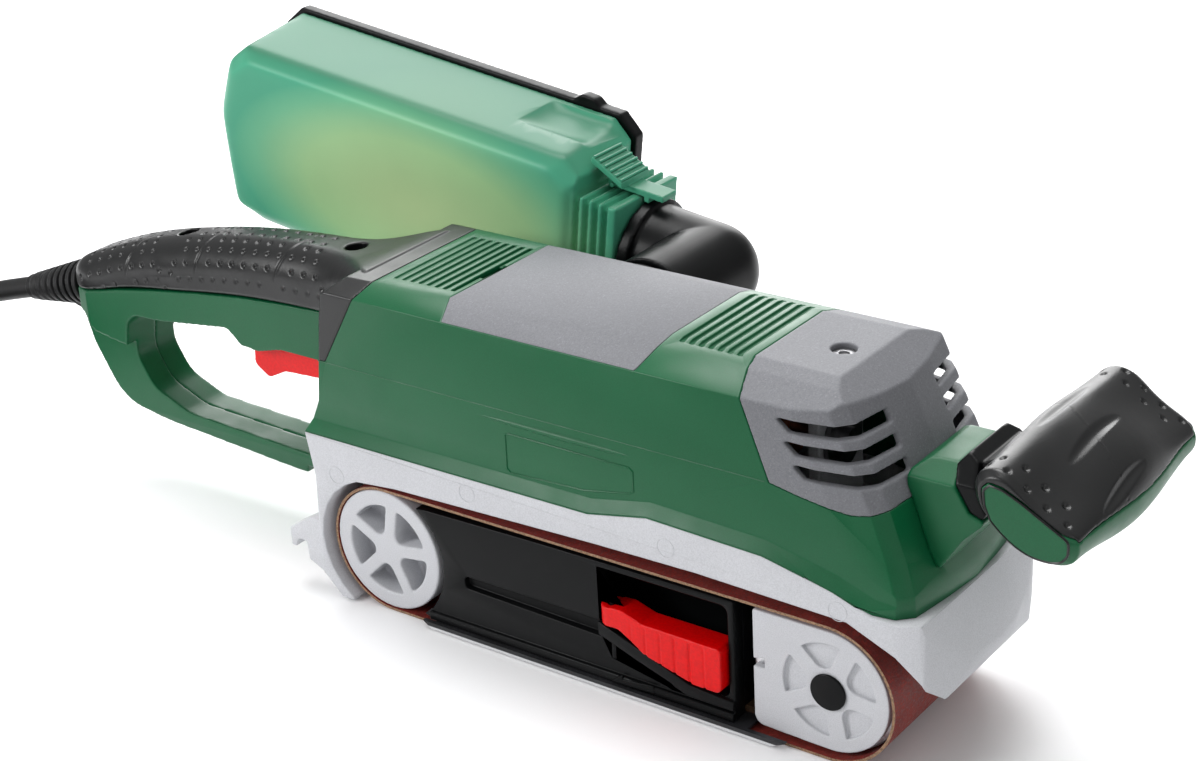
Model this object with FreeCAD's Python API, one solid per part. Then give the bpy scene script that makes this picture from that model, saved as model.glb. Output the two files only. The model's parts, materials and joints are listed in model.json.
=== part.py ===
import FreeCAD, Part
import math
import os

from FreeCAD import Vector

# Handheld belt sander, millimetres.  +X is forwards, +Y is the tool's left, +Z is up.
# The origin lies on the ground, midway between the two rollers and midway across the belt.

# ---- driving dimensions -------------------------------------------------------------------
BELT_WIDTH = 75.0            # a 75 x 533 mm sanding belt
BELT_THICK = 1.0
BELT_LENGTH = 533.0
BELT_R = 25.3                # outer radius of the belt where it turns
BELT_GAP = 0.3               # air between the belt and its rollers
ROLLER_R = BELT_R - BELT_THICK - BELT_GAP
ROLLER_X = (BELT_LENGTH - 2 * math.pi * BELT_R) / 4
AXIS_Z = BELT_R              # both rollers' centres stand this high
HALF_BELT = BELT_WIDTH / 2

WALL = 2.6                   # moulded housing wall
HALF_W = 38.0                # half the housing's width at its waist
FLARE_W = 41.0               # half the width where the housing meets the lower frame
ROOF_Z = 131.0
SEAM_Z = 68.0                # height of the joint between housing and lower frame

MOTOR_Z = 98.0               # motor axis, running along X
CROSS_X = -84.0              # cross shaft that carries the bevel gear and the small pulley
MOTOR_BEARING_X = (-52.0, 72.0)
CROSS_BEARING_Y = (-24.0, 28.0)
DRUM_BEARING_Y = 36.2
TRACK_X = 36.0               # belt tracking knob on the left wall
TRACK_Z = 34.0
STATOR_R = 28.5
PULLEY_Y = 43.6              # right-hand face of both toothed pulleys
PULLEY_W = 8.0
SMALL_PULLEY_R = 9.0
LARGE_PULLEY_R = 20.0

OUTLET_X = -27.0             # dust outlet and swivel axis, along Y
OUTLET_Z = 107.0
OUTLET_R = 15.5
ELBOW_R = 18.6
BOX_Y = 80.0                 # centre plane of the dust box
BOX_TILT = 7.5               # the box rises towards the rear by this many degrees

KNOB_X = 153.0               # tilting axis of the front knob, along Y
KNOB_Z = 109.5
KNOB_HALF = 44.0

HANDLE_HALF = 16.0           # half the width of the rear grip
BAR_HALF = 10.5              # half the width of the bow below it
TRIGGER_HALF = 11.0
DIAL_X = -150.0              # speed dial's axle in the trigger
DIAL_Z = 74.6
DIAL_AXLE_R = 2.0
LOCK_X = -187.0              # lock-on button in the left handle shell
LOCK_Z = 92.5

LEVER_X = 8.6                # upright pin of the belt lever
LEVER_Y = -36.2

CORD_D = 9.0
SCREW_R = 3.9
SHAFT_R = 4.0                # motor, cross and drum shafts run in identical bearings
BEARING_R = 11.0
BEARING_W = 7.0
RUN = 0.05                   # radial clearance of a running fit


# ---- small geometry helpers ---------------------------------------------------------------
def box(x0, x1, y0, y1, z0, z1):
    return Part.makeBox(x1 - x0, y1 - y0, z1 - z0, Vector(x0, y0, z0))


def rod(radius, start, end):
    """A cylinder between two points."""
    path = Vector(*end) - Vector(*start)
    return Part.makeCylinder(radius, path.Length, Vector(*start), path)


def ring(outer, inner, start, end):
    return rod(outer, start, end).cut(rod(inner, start, end))


def cone(r0, r1, start, end):
    path = Vector(*end) - Vector(*start)
    return Part.makeCone(r0, r1, path.Length, Vector(*start), path)


def outline(points):
    """A closed outline. A point with a fourth value is rounded to that radius."""
    count = len(points)
    corners = [Vector(*p[:3]) for p in points]
    edges = []
    joints = []
    for i, here in enumerate(corners):
        radius = points[i][3] if len(points[i]) > 3 else 0
        back = (corners[i - 1] - here).normalize()
        ahead = (corners[(i + 1) % count] - here).normalize()
        if not radius:
            joints.append((here, here, None))
            continue
        half = back.getAngle(ahead) / 2
        reach = radius / math.tan(half)
        bisector = (back + ahead).normalize()
        middle = here + bisector * (radius / math.sin(half) - radius)
        joints.append((here + back * reach, here + ahead * reach, middle))
    for i, (enter, leave, middle) in enumerate(joints):
        if middle is not None:
            edges.append(Part.Arc(enter, middle, leave).toShape())
        following = joints[(i + 1) % count][0]
        if (following - leave).Length > 1e-6:
            edges.append(Part.makeLine(leave, following))
    return Part.Wire(edges)


def prism_y(points, y0, y1):
    """Extrude an (x, z[, radius]) outline along Y."""
    wire = outline([(p[0], y0, p[1]) + tuple(p[2:]) for p in points])
    return Part.Face(wire).extrude(Vector(0, y1 - y0, 0))


def prism_x(points, x0, x1):
    """Extrude a (y, z[, radius]) outline along X."""
    wire = outline([(x0, p[0], p[1]) + tuple(p[2:]) for p in points])
    return Part.Face(wire).extrude(Vector(x1 - x0, 0, 0))


def prism_z(points, z0, z1):
    """Extrude an (x, y[, radius]) outline along Z."""
    wire = outline([(p[0], p[1], z0) + tuple(p[2:]) for p in points])
    return Part.Face(wire).extrude(Vector(0, 0, z1 - z0))


def both_sides(points):
    """Complete a (y, z) half outline, given from bottom to top at positive y, by its mirror image."""
    return points + [(-p[0],) + tuple(p[1:]) for p in reversed(points)]


def mirrored(points):
    """Complete an (x, y) half outline at positive y by its mirror image."""
    return points + [(p[0], -p[1]) + tuple(p[2:]) for p in reversed(points)]


def fuse(shapes):
    body = shapes[0]
    for other in shapes[1:]:
        body = body.fuse(other)
    return body.removeSplitter()


def largest(shape):
    """The main solid of a cut, without the slivers it leaves."""
    return max(shape.Solids, key=lambda solid: solid.Volume)


def loft(wires, ruled=False):
    return Part.makeLoft(wires, True, ruled)


def turned(shape, degrees, x, z):
    """Rotate about an axis along Y through (x, z); a positive angle lifts the rear."""
    copy = shape.copy()
    copy.rotate(Vector(x, 0, z), Vector(0, 1, 0), degrees)
    return copy


def gear_y(radius, teeth, depth, x, z, y0, y1, bore):
    """A straight-toothed wheel about an axis along Y."""
    points = []
    step = 2 * math.pi / teeth
    for i in range(teeth):
        for part_of_step, r in ((0.0, radius - depth), (0.30, radius - depth), (0.42, radius),
                                (0.88, radius)):
            angle = (i + part_of_step) * step
            points.append((x + r * math.cos(angle), z + r * math.sin(angle)))
    return prism_y(points, y0, y1).cut(rod(bore, (x, y0 - 1, z), (x, y1 + 1, z)))


# ---- the housing envelope -----------------------------------------------------------------
# The whole upper body is one envelope, cut into the green shell, the grey band, the vented
# nose cover and the black shoulder of the grip.
# The wavy joint line between the housing above and the lower frame below, seen from the side.
JOINT_LINE = [(-140, SEAM_Z - 0.6), (2.6, SEAM_Z), (27, SEAM_Z + 5), (72, SEAM_Z + 3.5), (98, SEAM_Z - 2),
              (112, SEAM_Z - 7), (140, SEAM_Z - 8)]
LIP_HEIGHT = 4.7             # the housing flares out to the frame over this height


def below_joint(y, rise):
    """Closed side view of everything below the joint line raised by rise."""
    ends = [(140, 40), (-140, 40)]
    return outline([(x, y, z + rise) for x, z in JOINT_LINE] + [(x, y, z) for x, z in ends])


def flared_lip(inset):
    """The housing's lower edge slopes out to the width of the frame, all along the joint line."""
    waist = HALF_W - inset
    sections = [(-FLARE_W + inset, 0.2), (-waist, LIP_HEIGHT), (waist, LIP_HEIGHT), (FLARE_W - inset, 0.2)]
    return loft([below_joint(y, rise) for y, rise in sections], True)


def envelope(inset):
    t = inset
    section = both_sides([(HALF_W - t, 50), (HALF_W - t, 124 - t / 3), (27.4 - t / 2, 129 - t),
                          (18 - t / 2, ROOF_Z + 0.5 - t)])
    profile = [(-127 + t, 50), (-126 + t, 67), (-120 + t, 80), (-115.7 + t, 113), (-113.7 + t, 123 - t / 2),
               (-108 + t, 128 - t), (-60, 128.8 - t), (26, ROOF_Z - t), (90 - t / 4, 130.6 - t),
               (103 - t / 4, 124 - t), (130, 124 - t), (135, 50)]
    side_view = prism_y(profile, -60, 60)
    levels = []
    for z, front, half in ((50, 128.0, FLARE_W), (68, 127.0, FLARE_W), (77, 122.5, HALF_W),
                           (94, 116.5, HALF_W), (124, 102.6, HALF_W), (140, 95.2, HALF_W)):
        f = front - t
        w = half - t
        right = [(-150, -w - 9), (f - 40, -w - 9), (f - 39, -w), (f - 21, -w), (f - 8, -w + 2.6),
                 (f - 3.5, -w + 7.5), (f - 1.2, -16), (f, 0)]
        left = [(x, -y) for x, y in reversed(right[:-1])]
        levels.append(outline([(x, y, z) for x, y in right + left]))
    width = prism_x(section, -140, 140).fuse(flared_lip(t))
    return width.common(side_view).common(loft(levels, True))


OUTER = envelope(0)
INNER = envelope(WALL)
SKIN = OUTER.cut(INNER)

SHOULDER_ZONE = [(-140, 60), (-125, 96), (-114.6, 96.6), (-98.6, 123.6), (-95, 129.5), (-95, 140),
                 (-140, 140)]
BAND_ZONE = [(-58, 124.0), (23, 124.0), (26, 131), (26, 140), (-62, 140), (-62, 129)]
NOSE_ZONE = [(58, 140), (58, 131), (63, 124), (73.4, 96.6), (84, 94.6), (96, 93), (102.5, 92), (110, 93),
             (118, 95.5), (140, 98), (140, 140)]


def above_joint():
    return prism_y([(-140, 150)] + JOINT_LINE + [(140, 150)], -60, 60)


def zone(points):
    return prism_y(points, -60, 60)


def roof_ribs():
    """Fine transverse grooves pressed into the roof on both sides of the grey band."""
    grooves = []
    for start, count in ((-91.5, 8), (30.5, 7)):
        for i in range(count):
            x = start + i * 3.7
            grooves.append(box(x, x + 1.7, -22.5, 22.5, 127.6 if start < 0 else 130.0, 140))
    return grooves


# ---- fixed skin ---------------------------------------------------------------------------
def motor_housing_shell():
    shell = SKIN.common(above_joint())
    for area in (SHOULDER_ZONE, BAND_ZONE, NOSE_ZONE):
        shell = shell.cut(zone(area))
    for groove in roof_ribs():
        shell = shell.cut(groove)
    shell = shell.cut(rod(OUTLET_R + 1.8, (OUTLET_X, 20, OUTLET_Z), (OUTLET_X, 60, OUTLET_Z)))
    shell = shell.cut(rod(12.0, (CROSS_X, 20, MOTOR_Z), (CROSS_X, 60, MOTOR_Z)))
    band_release = box(-65.6, -62, -8.5, 4.5, 120, 132)
    return shell.cut(box(-140, -100, -8, 8, 84, 96)).cut(band_release)


def nose_vent_cover():
    cover = SKIN.common(zone(NOSE_ZONE))
    for side in (-1, 1):
        for z, tail, nose in ((118.0, 78.0, 15.0), (110.5, 80.5, 15.0), (103.0, 83.5, 15.0)):
            low, high = sorted((side * 44, side * nose))
            slot = prism_y([(tail - 2, z + 2.2), (tail + 3, z - 1.9), (130, z - 1.9), (130, z + 2.2)],
                           low, high)
            cover = cover.cut(slot)
    cover = cover.cut(rod(SCREW_R + 0.4, (80, -2, 120), (80, -2, 140)))
    return cover


def top_band():
    return SKIN.common(zone(BAND_ZONE))


def section_x(x, low, high, half, round_low, round_high):
    """A rounded upright section across the grip at x."""
    return outline([(x, half, low, round_low), (x, half, high, round_high),
                    (x, -half, high, round_high), (x, -half, low, round_low)])


def grip_cover():
    stations = [(-278.5, 83.8, 91, 8, 2, 3.5), (-275, 84, 95.5, 12, 2, 6), (-267, 85.4, 99.5, 15.4, 2, 10),
                (-248, 90, 106.5, HANDLE_HALF, 2, 12), (-219, 95, 114.5, HANDLE_HALF, 2, 13),
                (-178, 100.6, 121.8, HANDLE_HALF, 2, 13), (-148, 102.8, 124.4, HANDLE_HALF + 0.4, 2, 13),
                (-130, 103.6, 125.2, HANDLE_HALF + 2, 2, 12), (-117, 104, 126.8, HANDLE_HALF + 7, 2, 10),
                (-104, 106, 128.6, HANDLE_HALF + 12, 2, 6)]
    grip = loft([section_x(*s) for s in stations])
    shoulder = SKIN.common(zone(SHOULDER_ZONE))
    cover = fuse([grip.cut(INNER), shoulder])
    for x, z in ((-218, 116), (-129.4, 125)):
        cover = cover.cut(rod(SCREW_R + 0.4, (x, 0, z - 12), (x, 0, z + 12)))
    return cover


def bow_outline():
    """Side view of the closed bow of the rear handle, as outer and inner loops."""
    outer = [(-278.5, 83.6), (-271.5, 60, 14), (-258.5, 37.5, 22), (-234, 32.6, 30), (-165, 27.2),
             (-160, 27.2),
             (-158, 31), (-118, 30), (-118, 38), (-118, 104.2), (-140, 103), (-156, 102.2), (-178, 100.4),
             (-203, 97.2),
             (-226, 93.6), (-248, 89.6), (-267, 85.2)]
    inner = [(-243, 80, 8), (-247, 60, 12), (-239, 46.5, 14), (-221, 39.4, 20), (-117, 35.8), (-117, 82.8),
             (-160, 82.6, 10), (-171, 79.6, 2), (-180, 80, 2), (-187, 86, 4), (-224, 81, 6)]
    return outer, inner


def handle_shell(side, neighbours):
    """One half of the green bow, trimmed to its neighbours; the halves meet in the middle plane."""
    outer, inner = bow_outline()
    low, high = sorted((0.0, side * HANDLE_HALF))
    body = prism_y(outer, low, high).cut(prism_y(inner, low - 1, high + 1))
    plan = prism_z(mirrored([(-278.5, 8), (-275, 12), (-267, 15.4), (-255, HANDLE_HALF),
                             (-100, HANDLE_HALF)]), 0, 120)
    slim = prism_y([(-300, 20), (-300, 78), (-272, 74), (-264, 68), (-228, 64), (-110, 64), (-110, 20)],
                   *sorted((side * BAR_HALF, side * 30)))
    foot = prism_x([(side * (BAR_HALF - 3.5), 24), (side * BAR_HALF, 24), (side * BAR_HALF, 35.5)], -300,
                   -100)
    cavity = prism_y([(-232, 87), (-200, 91), (-181, 84.5), (-122, 84.5), (-122, 98), (-176, 96.6),
                      (-230, 89.8)],
                     *sorted((side * 12.5, -side)))
    window = box(-181, -122, *sorted((side * (TRIGGER_HALF + 0.3), -side)), 76, 91)
    body = body.common(plan)
    for cut in (slim, foot, cavity, window, OUTER) + neighbours:
        body = body.cut(cut)
    if side > 0:
        body = body.cut(rod(4.2, (LOCK_X, 2, LOCK_Z), (LOCK_X, 30, LOCK_Z)))
    return largest(body)


def frame_side():
    """Side view of the light frame that carries the belt deck."""
    return [(-108, 0.9), (-116, 0.9), (-124, 9), (-124.5, 17), (-123, 50), (-126, 66.9), (-126, 80),
            (128, 80), (128, 60), (136, 41), (136, 38.5), (131.6, 30.4), (130.6, 31.6), (128, 39)]


def belt_tunnel():
    """Side view of the arch over the belt, open towards the ground."""
    radius = 28.6
    rear = [(-ROLLER_X + radius * math.cos(a), AXIS_Z + radius * math.sin(a))
            for a in [math.radians(d) for d in range(235, 95, -14)]]
    return rear + [(-84, 54.2), (5, 56.9), (46, 57.5), (103, 56.2), (120.7, 48.7), (128, 39.2),
                   (131.6, 31.6),
                   (133, 26), (133, -5), (-110, -5)]


def bearing_post_x(x):
    """Upright plate in the frame that holds a motor bearing."""
    post = box(x + 1.5, x + 5.5, -14, 14, 58, MOTOR_Z + 13)
    return post.cut(rod(BEARING_R, (x, 0, MOTOR_Z), (x + BEARING_W, 0, MOTOR_Z)))


def bearing_post_y(y):
    """Upright plate in the frame that holds a bearing of the cross shaft."""
    post = box(CROSS_X - 13, CROSS_X + 13, y + 1.5, y + 5.5, 58, MOTOR_Z + 13)
    return post.cut(rod(BEARING_R, (CROSS_X, y, MOTOR_Z), (CROSS_X, y + BEARING_W, MOTOR_Z)))


def lower_frame():
    plan = mirrored([(136, 0.5), (135.4, 12), (133.4, 25), (129, 37), (121, 41), (-150, 41)])
    body = prism_y(frame_side(), -41, 41).common(prism_z(plan, -1, 90))
    body = body.cut(prism_y(belt_tunnel(), -60, 60))
    body = body.cut(above_joint())
    well = prism_y([(-121, 58.5), (-70, 58.5), (5, 60.4), (100, 60.4), (118, 56), (121, 90), (-121, 90)],
                   -38, 38)
    body = body.cut(well)
    wall = prism_y([(-104, 20, 3), (-112, 40, 4), (-112, 66), (112, 62), (118, 44, 4), (104, 12, 3),
                    (-88, 12, 3)],
                   38.3, 41)
    hook = prism_y([(-121, 31), (-128, 31), (-139.5, 24), (-139.5, 16.5), (-137, 16.5), (-135.5, 20),
                    (-131.5, 20),
                    (-131, 12.5), (-121, 8)], -41, -33)
    cradle = box(-16, 28, -17, 17, 58, 78).cut(rod(STATOR_R, (-30, 0, MOTOR_Z), (40, 0, MOTOR_Z)))
    posts = [bearing_post_x(x) for x in MOTOR_BEARING_X] + [bearing_post_y(y) for y in CROSS_BEARING_Y]
    body = fuse([body, wall, hook.cut(prism_y(belt_tunnel(), -60, 60)), cradle] + posts)
    bearing_seat = rod(BEARING_R, (-ROLLER_X, 30, AXIS_Z), (-ROLLER_X, 60, AXIS_Z))
    return body.cut(bearing_seat).cut(rod(3.0, (TRACK_X, 30, TRACK_Z), (TRACK_X, 60, TRACK_Z)))


# ---- belt deck ----------------------------------------------------------------------------
def belt_loop(radius):
    """Side view of a loop of this radius around both rollers."""
    return [(-ROLLER_X - radius, AXIS_Z - radius, radius - 0.001),
            (ROLLER_X + radius, AXIS_Z - radius, radius - 0.001),
            (ROLLER_X + radius, AXIS_Z + radius, radius - 0.001),
            (-ROLLER_X - radius, AXIS_Z + radius, radius - 0.001)]


def sanding_belt():
    outer = prism_y(belt_loop(BELT_R), -HALF_BELT, HALF_BELT)
    return outer.cut(prism_y(belt_loop(BELT_R - BELT_THICK), -HALF_BELT - 1, HALF_BELT + 1))


DECK_REAR = -ROLLER_X + ROLLER_R + 2.5
DECK_FRONT = 62.0


def graphite_pad():
    return box(DECK_REAR - 2, DECK_FRONT, -36, 36, 1.1, 2.1)


def sole_plate():
    """Steel sole over the pad; its right edge is turned down beside the belt."""
    plate = box(DECK_REAR - 4, DECK_FRONT + 2, -39.6, 36, 2.1, 3.1)
    lip = prism_y([(DECK_REAR - 9, 3.1), (DECK_REAR - 5, 0.5), (DECK_FRONT + 12, 0.5),
                   (DECK_FRONT + 17.5, 3.1)], -41.4, -39.6)
    return fuse([plate, lip])


def cork_pad():
    return box(DECK_REAR, DECK_FRONT - 1, -31, 34, 3.1, 5.6)


def belt_chassis():
    """Core inside the belt loop, held by the left wall, with a bay for the tension lever."""
    core = box(DECK_REAR + 1.5, DECK_FRONT - 4, -32, 38.3, 5.6, 47.8)
    core = core.cut(box(DECK_REAR + 6, DECK_FRONT - 9, -18, 34, 10, 43))
    seat = box(8, 10.5, -14, 28, 10, 43)
    bay = box(-2, 56.5, -40, -21, 8, 46.4)
    slot = box(40, DECK_FRONT, -14, 28, 14, 37)
    return fuse([core.cut(bay), seat]).cut(slot)


def side_guard():
    """Black cover plate on the open side, with the lever bay, a finger groove and raised ribs."""
    radius = ROLLER_R + 2.8
    rear = [(-ROLLER_X + radius * math.cos(a), AXIS_Z + radius * math.sin(a))
            for a in [math.radians(d) for d in range(-54, 55, 12)]]
    plate = prism_y([(-76, 3.1)] + rear + [(-73, 47.4), (-26, 48.3), (58.2, 48.9), (58.2, 3.1)], -38.0,
                    -32.0)
    foot = box(-74, 58.2, -39.6, -38, 3.1, 6.5)
    bay = prism_y([(3.2, 25.6), (41, 12.0, 6), (56, 11.2, 3), (56, 46.4, 3), (3.2, 46.4)], -45, -30)
    groove = prism_y([(-57, 20.4, 2), (3, 19.0), (3, 25.4), (-57, 25.2, 2)], -45, -35.2)
    ridge = prism_y([(3.2, 25.6), (41, 12.0, 6), (58.2, 11.0), (58.2, 7.4), (40, 7.4, 6), (3.2, 20.6)],
                    -39.4, -37.9)
    arrow = prism_y([(8, 3.6), (13, 7.6), (13, 5.8), (26, 7.2), (26, 4.2), (13, 3.4)], -40.1, -39.5)
    pocket = prism_y([(12, 14.6, 1.2), (34, 6.6), (38, 6.6), (33, 10.4), (14, 16.6, 1.2)], -45, -36.6)
    guard = fuse([plate.cut(bay).cut(groove), foot, ridge]).cut(pocket)
    return fuse([guard, arrow]).cut(lever_pin())


def drive_cover():
    """Black cover of the toothed belt on the left side, drawn tight around both pulleys."""
    cover = tangent_loop(14.6, 24.5, 38.0, 54.4).cut(tangent_loop(12.6, 22.9, 30.0, 52.4)).cut(OUTER)
    return cover.cut(box(-150, 50, 30, 41, 0, 80))


# ---- motor --------------------------------------------------------------------------------
def motor_stator():
    body = rod(STATOR_R, (-22, 0, MOTOR_Z), (34, 0, MOTOR_Z))
    body = body.cut(rod(19.0, (-30, 0, MOTOR_Z), (50, 0, MOTOR_Z)))
    for side in (-1, 1):
        ear = box(-6, 30, *sorted((side * 25, side * 34)), MOTOR_Z - 6, MOTOR_Z + 6)
        body = fuse([body, ear.cut(rod(20, (-30, 0, MOTOR_Z), (50, 0, MOTOR_Z)))])
    return body


def armature_core():
    core = rod(17.6, (-20, 0, MOTOR_Z), (32, 0, MOTOR_Z))
    for i in range(12):
        angle = math.radians(30 * i)
        slot = box(-21, 33, -1.0, 1.0, 13, 19)
        slot.rotate(Vector(0, 0, 0), Vector(1, 0, 0), math.degrees(angle))
        slot.translate(Vector(0, 0, MOTOR_Z))
        core = core.cut(slot)
    return core.cut(rod(4.0, (-30, 0, MOTOR_Z), (50, 0, MOTOR_Z)))


def motor_shaft():
    """Steel shaft with the bevel pinion cut on its rear end."""
    shaft = rod(SHAFT_R, (-59, 0, MOTOR_Z), (82, 0, MOTOR_Z))
    pinion = cone(8.6, 6.0, (-59, 0, MOTOR_Z), (-68, 0, MOTOR_Z))
    for i in range(10):
        angle = math.radians(36 * i)
        y = 8.4 * math.cos(angle)
        z = MOTOR_Z + 8.4 * math.sin(angle)
        pinion = pinion.cut(cone(1.5, 0.9, (-58, y, z), (-69, 0.72 * y, MOTOR_Z + 0.72 * (z - MOTOR_Z))))
    return fuse([shaft, pinion])


def commutator():
    return ring(11.0, 4.0, (42, 0, MOTOR_Z), (60, 0, MOTOR_Z))


def cooling_fan():
    hub = ring(9.0, 4.0, (-42, 0, MOTOR_Z), (-27, 0, MOTOR_Z))
    disc = ring(26.5, 8.5, (-29, 0, MOTOR_Z), (-27, 0, MOTOR_Z))
    blades = []
    for i in range(9):
        blade = box(-38, -28, -0.9, 0.9, 8.0, 26.0)
        blade.rotate(Vector(0, 0, 0), Vector(1, 0, 0), 40 * i)
        blade.translate(Vector(0, 0, MOTOR_Z))
        blades.append(blade)
    return fuse([hub, disc] + blades)


def ball_bearings():
    """Five identical bearings, for the motor, cross and drum shafts."""
    bore = SHAFT_R + RUN
    races = [ring(BEARING_R, bore, (x, 0, MOTOR_Z), (x + BEARING_W, 0, MOTOR_Z)) for x in MOTOR_BEARING_X]
    races += [ring(BEARING_R, bore, (CROSS_X, y, MOTOR_Z), (CROSS_X, y + BEARING_W,
                                                            MOTOR_Z)) for y in CROSS_BEARING_Y]
    races.append(ring(BEARING_R, bore, (-ROLLER_X, DRUM_BEARING_Y, AXIS_Z),
                      (-ROLLER_X, DRUM_BEARING_Y + BEARING_W, AXIS_Z)))
    return Part.makeCompound(races)


def brush_holders():
    holders = []
    for side in (-1, 1):
        tube = box(47, 57, *sorted((side * 12.2, side * (HALF_W - WALL))), MOTOR_Z - 5.5, MOTOR_Z + 5.5)
        holders.append(tube.cut(box(49, 55, -40, 40, MOTOR_Z - 3.5, MOTOR_Z + 3.5)))
    return Part.makeCompound(holders)


def carbon_brushes():
    brushes = [box(49, 55, *sorted((side * 11.3, side * 27)), MOTOR_Z - 3.5, MOTOR_Z + 3.5) for side in (-1,
                                                                                                         1)]
    return Part.makeCompound(brushes)


# ---- cross shaft and rear drum ------------------------------------------------------------
def cross_shaft():
    return rod(SHAFT_R, (CROSS_X, -24, MOTOR_Z), (CROSS_X, PULLEY_Y + PULLEY_W, MOTOR_Z))


def bevel_gear():
    """Crown wheel on the cross shaft, beside the pinion."""
    wheel = cone(22.0, 17.0, (CROSS_X, 10.2, MOTOR_Z), (CROSS_X, 16.0, MOTOR_Z))
    return wheel.cut(rod(4.0, (CROSS_X, 0, MOTOR_Z), (CROSS_X, 30, MOTOR_Z)))


def drive_pulley():
    return gear_y(SMALL_PULLEY_R, 12, 1.3, CROSS_X, MOTOR_Z, PULLEY_Y, PULLEY_Y + PULLEY_W, SHAFT_R)


def driven_pulley():
    return gear_y(LARGE_PULLEY_R, 30, 1.3, -ROLLER_X, AXIS_Z, PULLEY_Y, PULLEY_Y + PULLEY_W, SHAFT_R)


def tangent_loop(r_up, r_low, y0, y1):
    """Prism around the cross shaft and the drum shaft, bounded by two arcs and their tangents."""
    upper = Vector(CROSS_X, 0, MOTOR_Z)
    lower = Vector(-ROLLER_X, 0, AXIS_Z)
    along = upper - lower
    lean = math.asin((r_low - r_up) / along.Length)
    heading = math.atan2(along.z, along.x)

    def at(centre, radius, angle):
        return Vector(centre.x + radius * math.cos(angle), y0, centre.z + radius * math.sin(angle))

    a = heading + math.pi / 2 - lean
    b = heading - math.pi / 2 + lean
    edges = [Part.makeLine(at(lower, r_low, a), at(upper, r_up, a)),
             Part.Arc(at(upper, r_up, a), at(upper, r_up, heading), at(upper, r_up, b)).toShape(),
             Part.makeLine(at(upper, r_up, b), at(lower, r_low, b)),
             Part.Arc(at(lower, r_low, b), at(lower, r_low, heading + math.pi),
                      at(lower, r_low, a)).toShape()]
    return Part.Face(Part.Wire(edges)).extrude(Vector(0, y1 - y0, 0))


def toothed_belt():
    """Closed toothed belt over both pulleys, a little clear of their tips."""
    y0 = PULLEY_Y + 0.6
    y1 = PULLEY_Y + PULLEY_W - 0.6
    clear = 0.4
    back = 2.2
    outer = tangent_loop(SMALL_PULLEY_R + back, LARGE_PULLEY_R + back, y0, y1)
    return outer.cut(tangent_loop(SMALL_PULLEY_R + clear, LARGE_PULLEY_R + clear, y0 - 1, y1 + 1))


def wheel_pockets(x, y0, y1, outer, half_spoke, rounding, phase):
    """Five pockets between the spokes of a wheel's face; phase is the first spoke's angle from +X towards +Z."""
    pockets = []
    for i in range(5):
        middle = math.radians(phase + 36 + 72 * i)
        apex = half_spoke / math.sin(math.radians(36))
        corners = [(x + apex * math.cos(middle), AXIS_Z + apex * math.sin(middle), rounding)]
        for turn in (-36, 36):
            angle = middle + math.radians(turn)
            corners.append((corners[0][0] + 30 * math.cos(angle), corners[0][1] + 30 * math.sin(angle)))
        pockets.append(prism_y(corners, y0, y1).common(rod(outer, (x, y0, AXIS_Z), (x, y1, AXIS_Z))))
    return pockets


def rear_drum():
    """Light plastic drum with a five-spoked face."""
    drum = fuse([rod(21.6, (-ROLLER_X, -30, AXIS_Z), (-ROLLER_X, 35.6, AXIS_Z)),
                 rod(ROLLER_R, (-ROLLER_X, -37.3, AXIS_Z), (-ROLLER_X, -30, AXIS_Z))])
    for pocket in wheel_pockets(-ROLLER_X, -40, -28.5, 17.8, 2.6, 3.0, 80):
        drum = drum.cut(pocket)
    return drum.cut(rod(SHAFT_R, (-ROLLER_X, -27, AXIS_Z), (-ROLLER_X, 60, AXIS_Z)))


def drum_sleeve():
    return ring(ROLLER_R, 21.6, (-ROLLER_X, -30, AXIS_Z), (-ROLLER_X, 35.6, AXIS_Z))


def drum_shaft():
    return rod(SHAFT_R, (-ROLLER_X, -27, AXIS_Z), (-ROLLER_X, PULLEY_Y + PULLEY_W, AXIS_Z))


# ---- front roller and its sprung carriage --------------------------------------------------
AXLE_R = 5.0
PLATE_Y = -36.2              # outer face of the carriage's cover plate


def front_roller():
    return ring(ROLLER_R, AXLE_R + RUN, (ROLLER_X, -31.2, AXIS_Z), (ROLLER_X, 35.2, AXIS_Z))


def roller_axle():
    return rod(AXLE_R, (ROLLER_X, PLATE_Y + 0.6, AXIS_Z), (ROLLER_X, 37.4, AXIS_Z))


def yoke_cover():
    """Light cover plate of the sprung carriage, round around the roller's axle."""
    inner_y = PLATE_Y + 3.0
    straight = prism_y([(64.6, 3.8, 4), (ROLLER_X, 3.0), (ROLLER_X, 47.6), (64.6, 47.6, 1)], PLATE_Y,
                       inner_y)
    disc = rod(22.3, (ROLLER_X, PLATE_Y, AXIS_Z), (ROLLER_X, inner_y, AXIS_Z))
    plate = fuse([straight, disc])
    for pocket in wheel_pockets(ROLLER_X, PLATE_Y - 5, PLATE_Y + 1.7, 17.4, 3.2, 4.0, 65):
        plate = plate.cut(pocket)
    key = prism_y([(64, 26), (69, 26), (69, 30), (64, 28.6)], PLATE_Y - 5, inner_y + 5)
    axle_hole = rod(AXLE_R, (ROLLER_X, PLATE_Y - 5, AXIS_Z), (ROLLER_X, inner_y + 5, AXIS_Z))
    return plate.cut(key).cut(axle_hole)


def axle_cap():
    return rod(6.6, (ROLLER_X, PLATE_Y - 1.0, AXIS_Z), (ROLLER_X, PLATE_Y, AXIS_Z))


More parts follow.
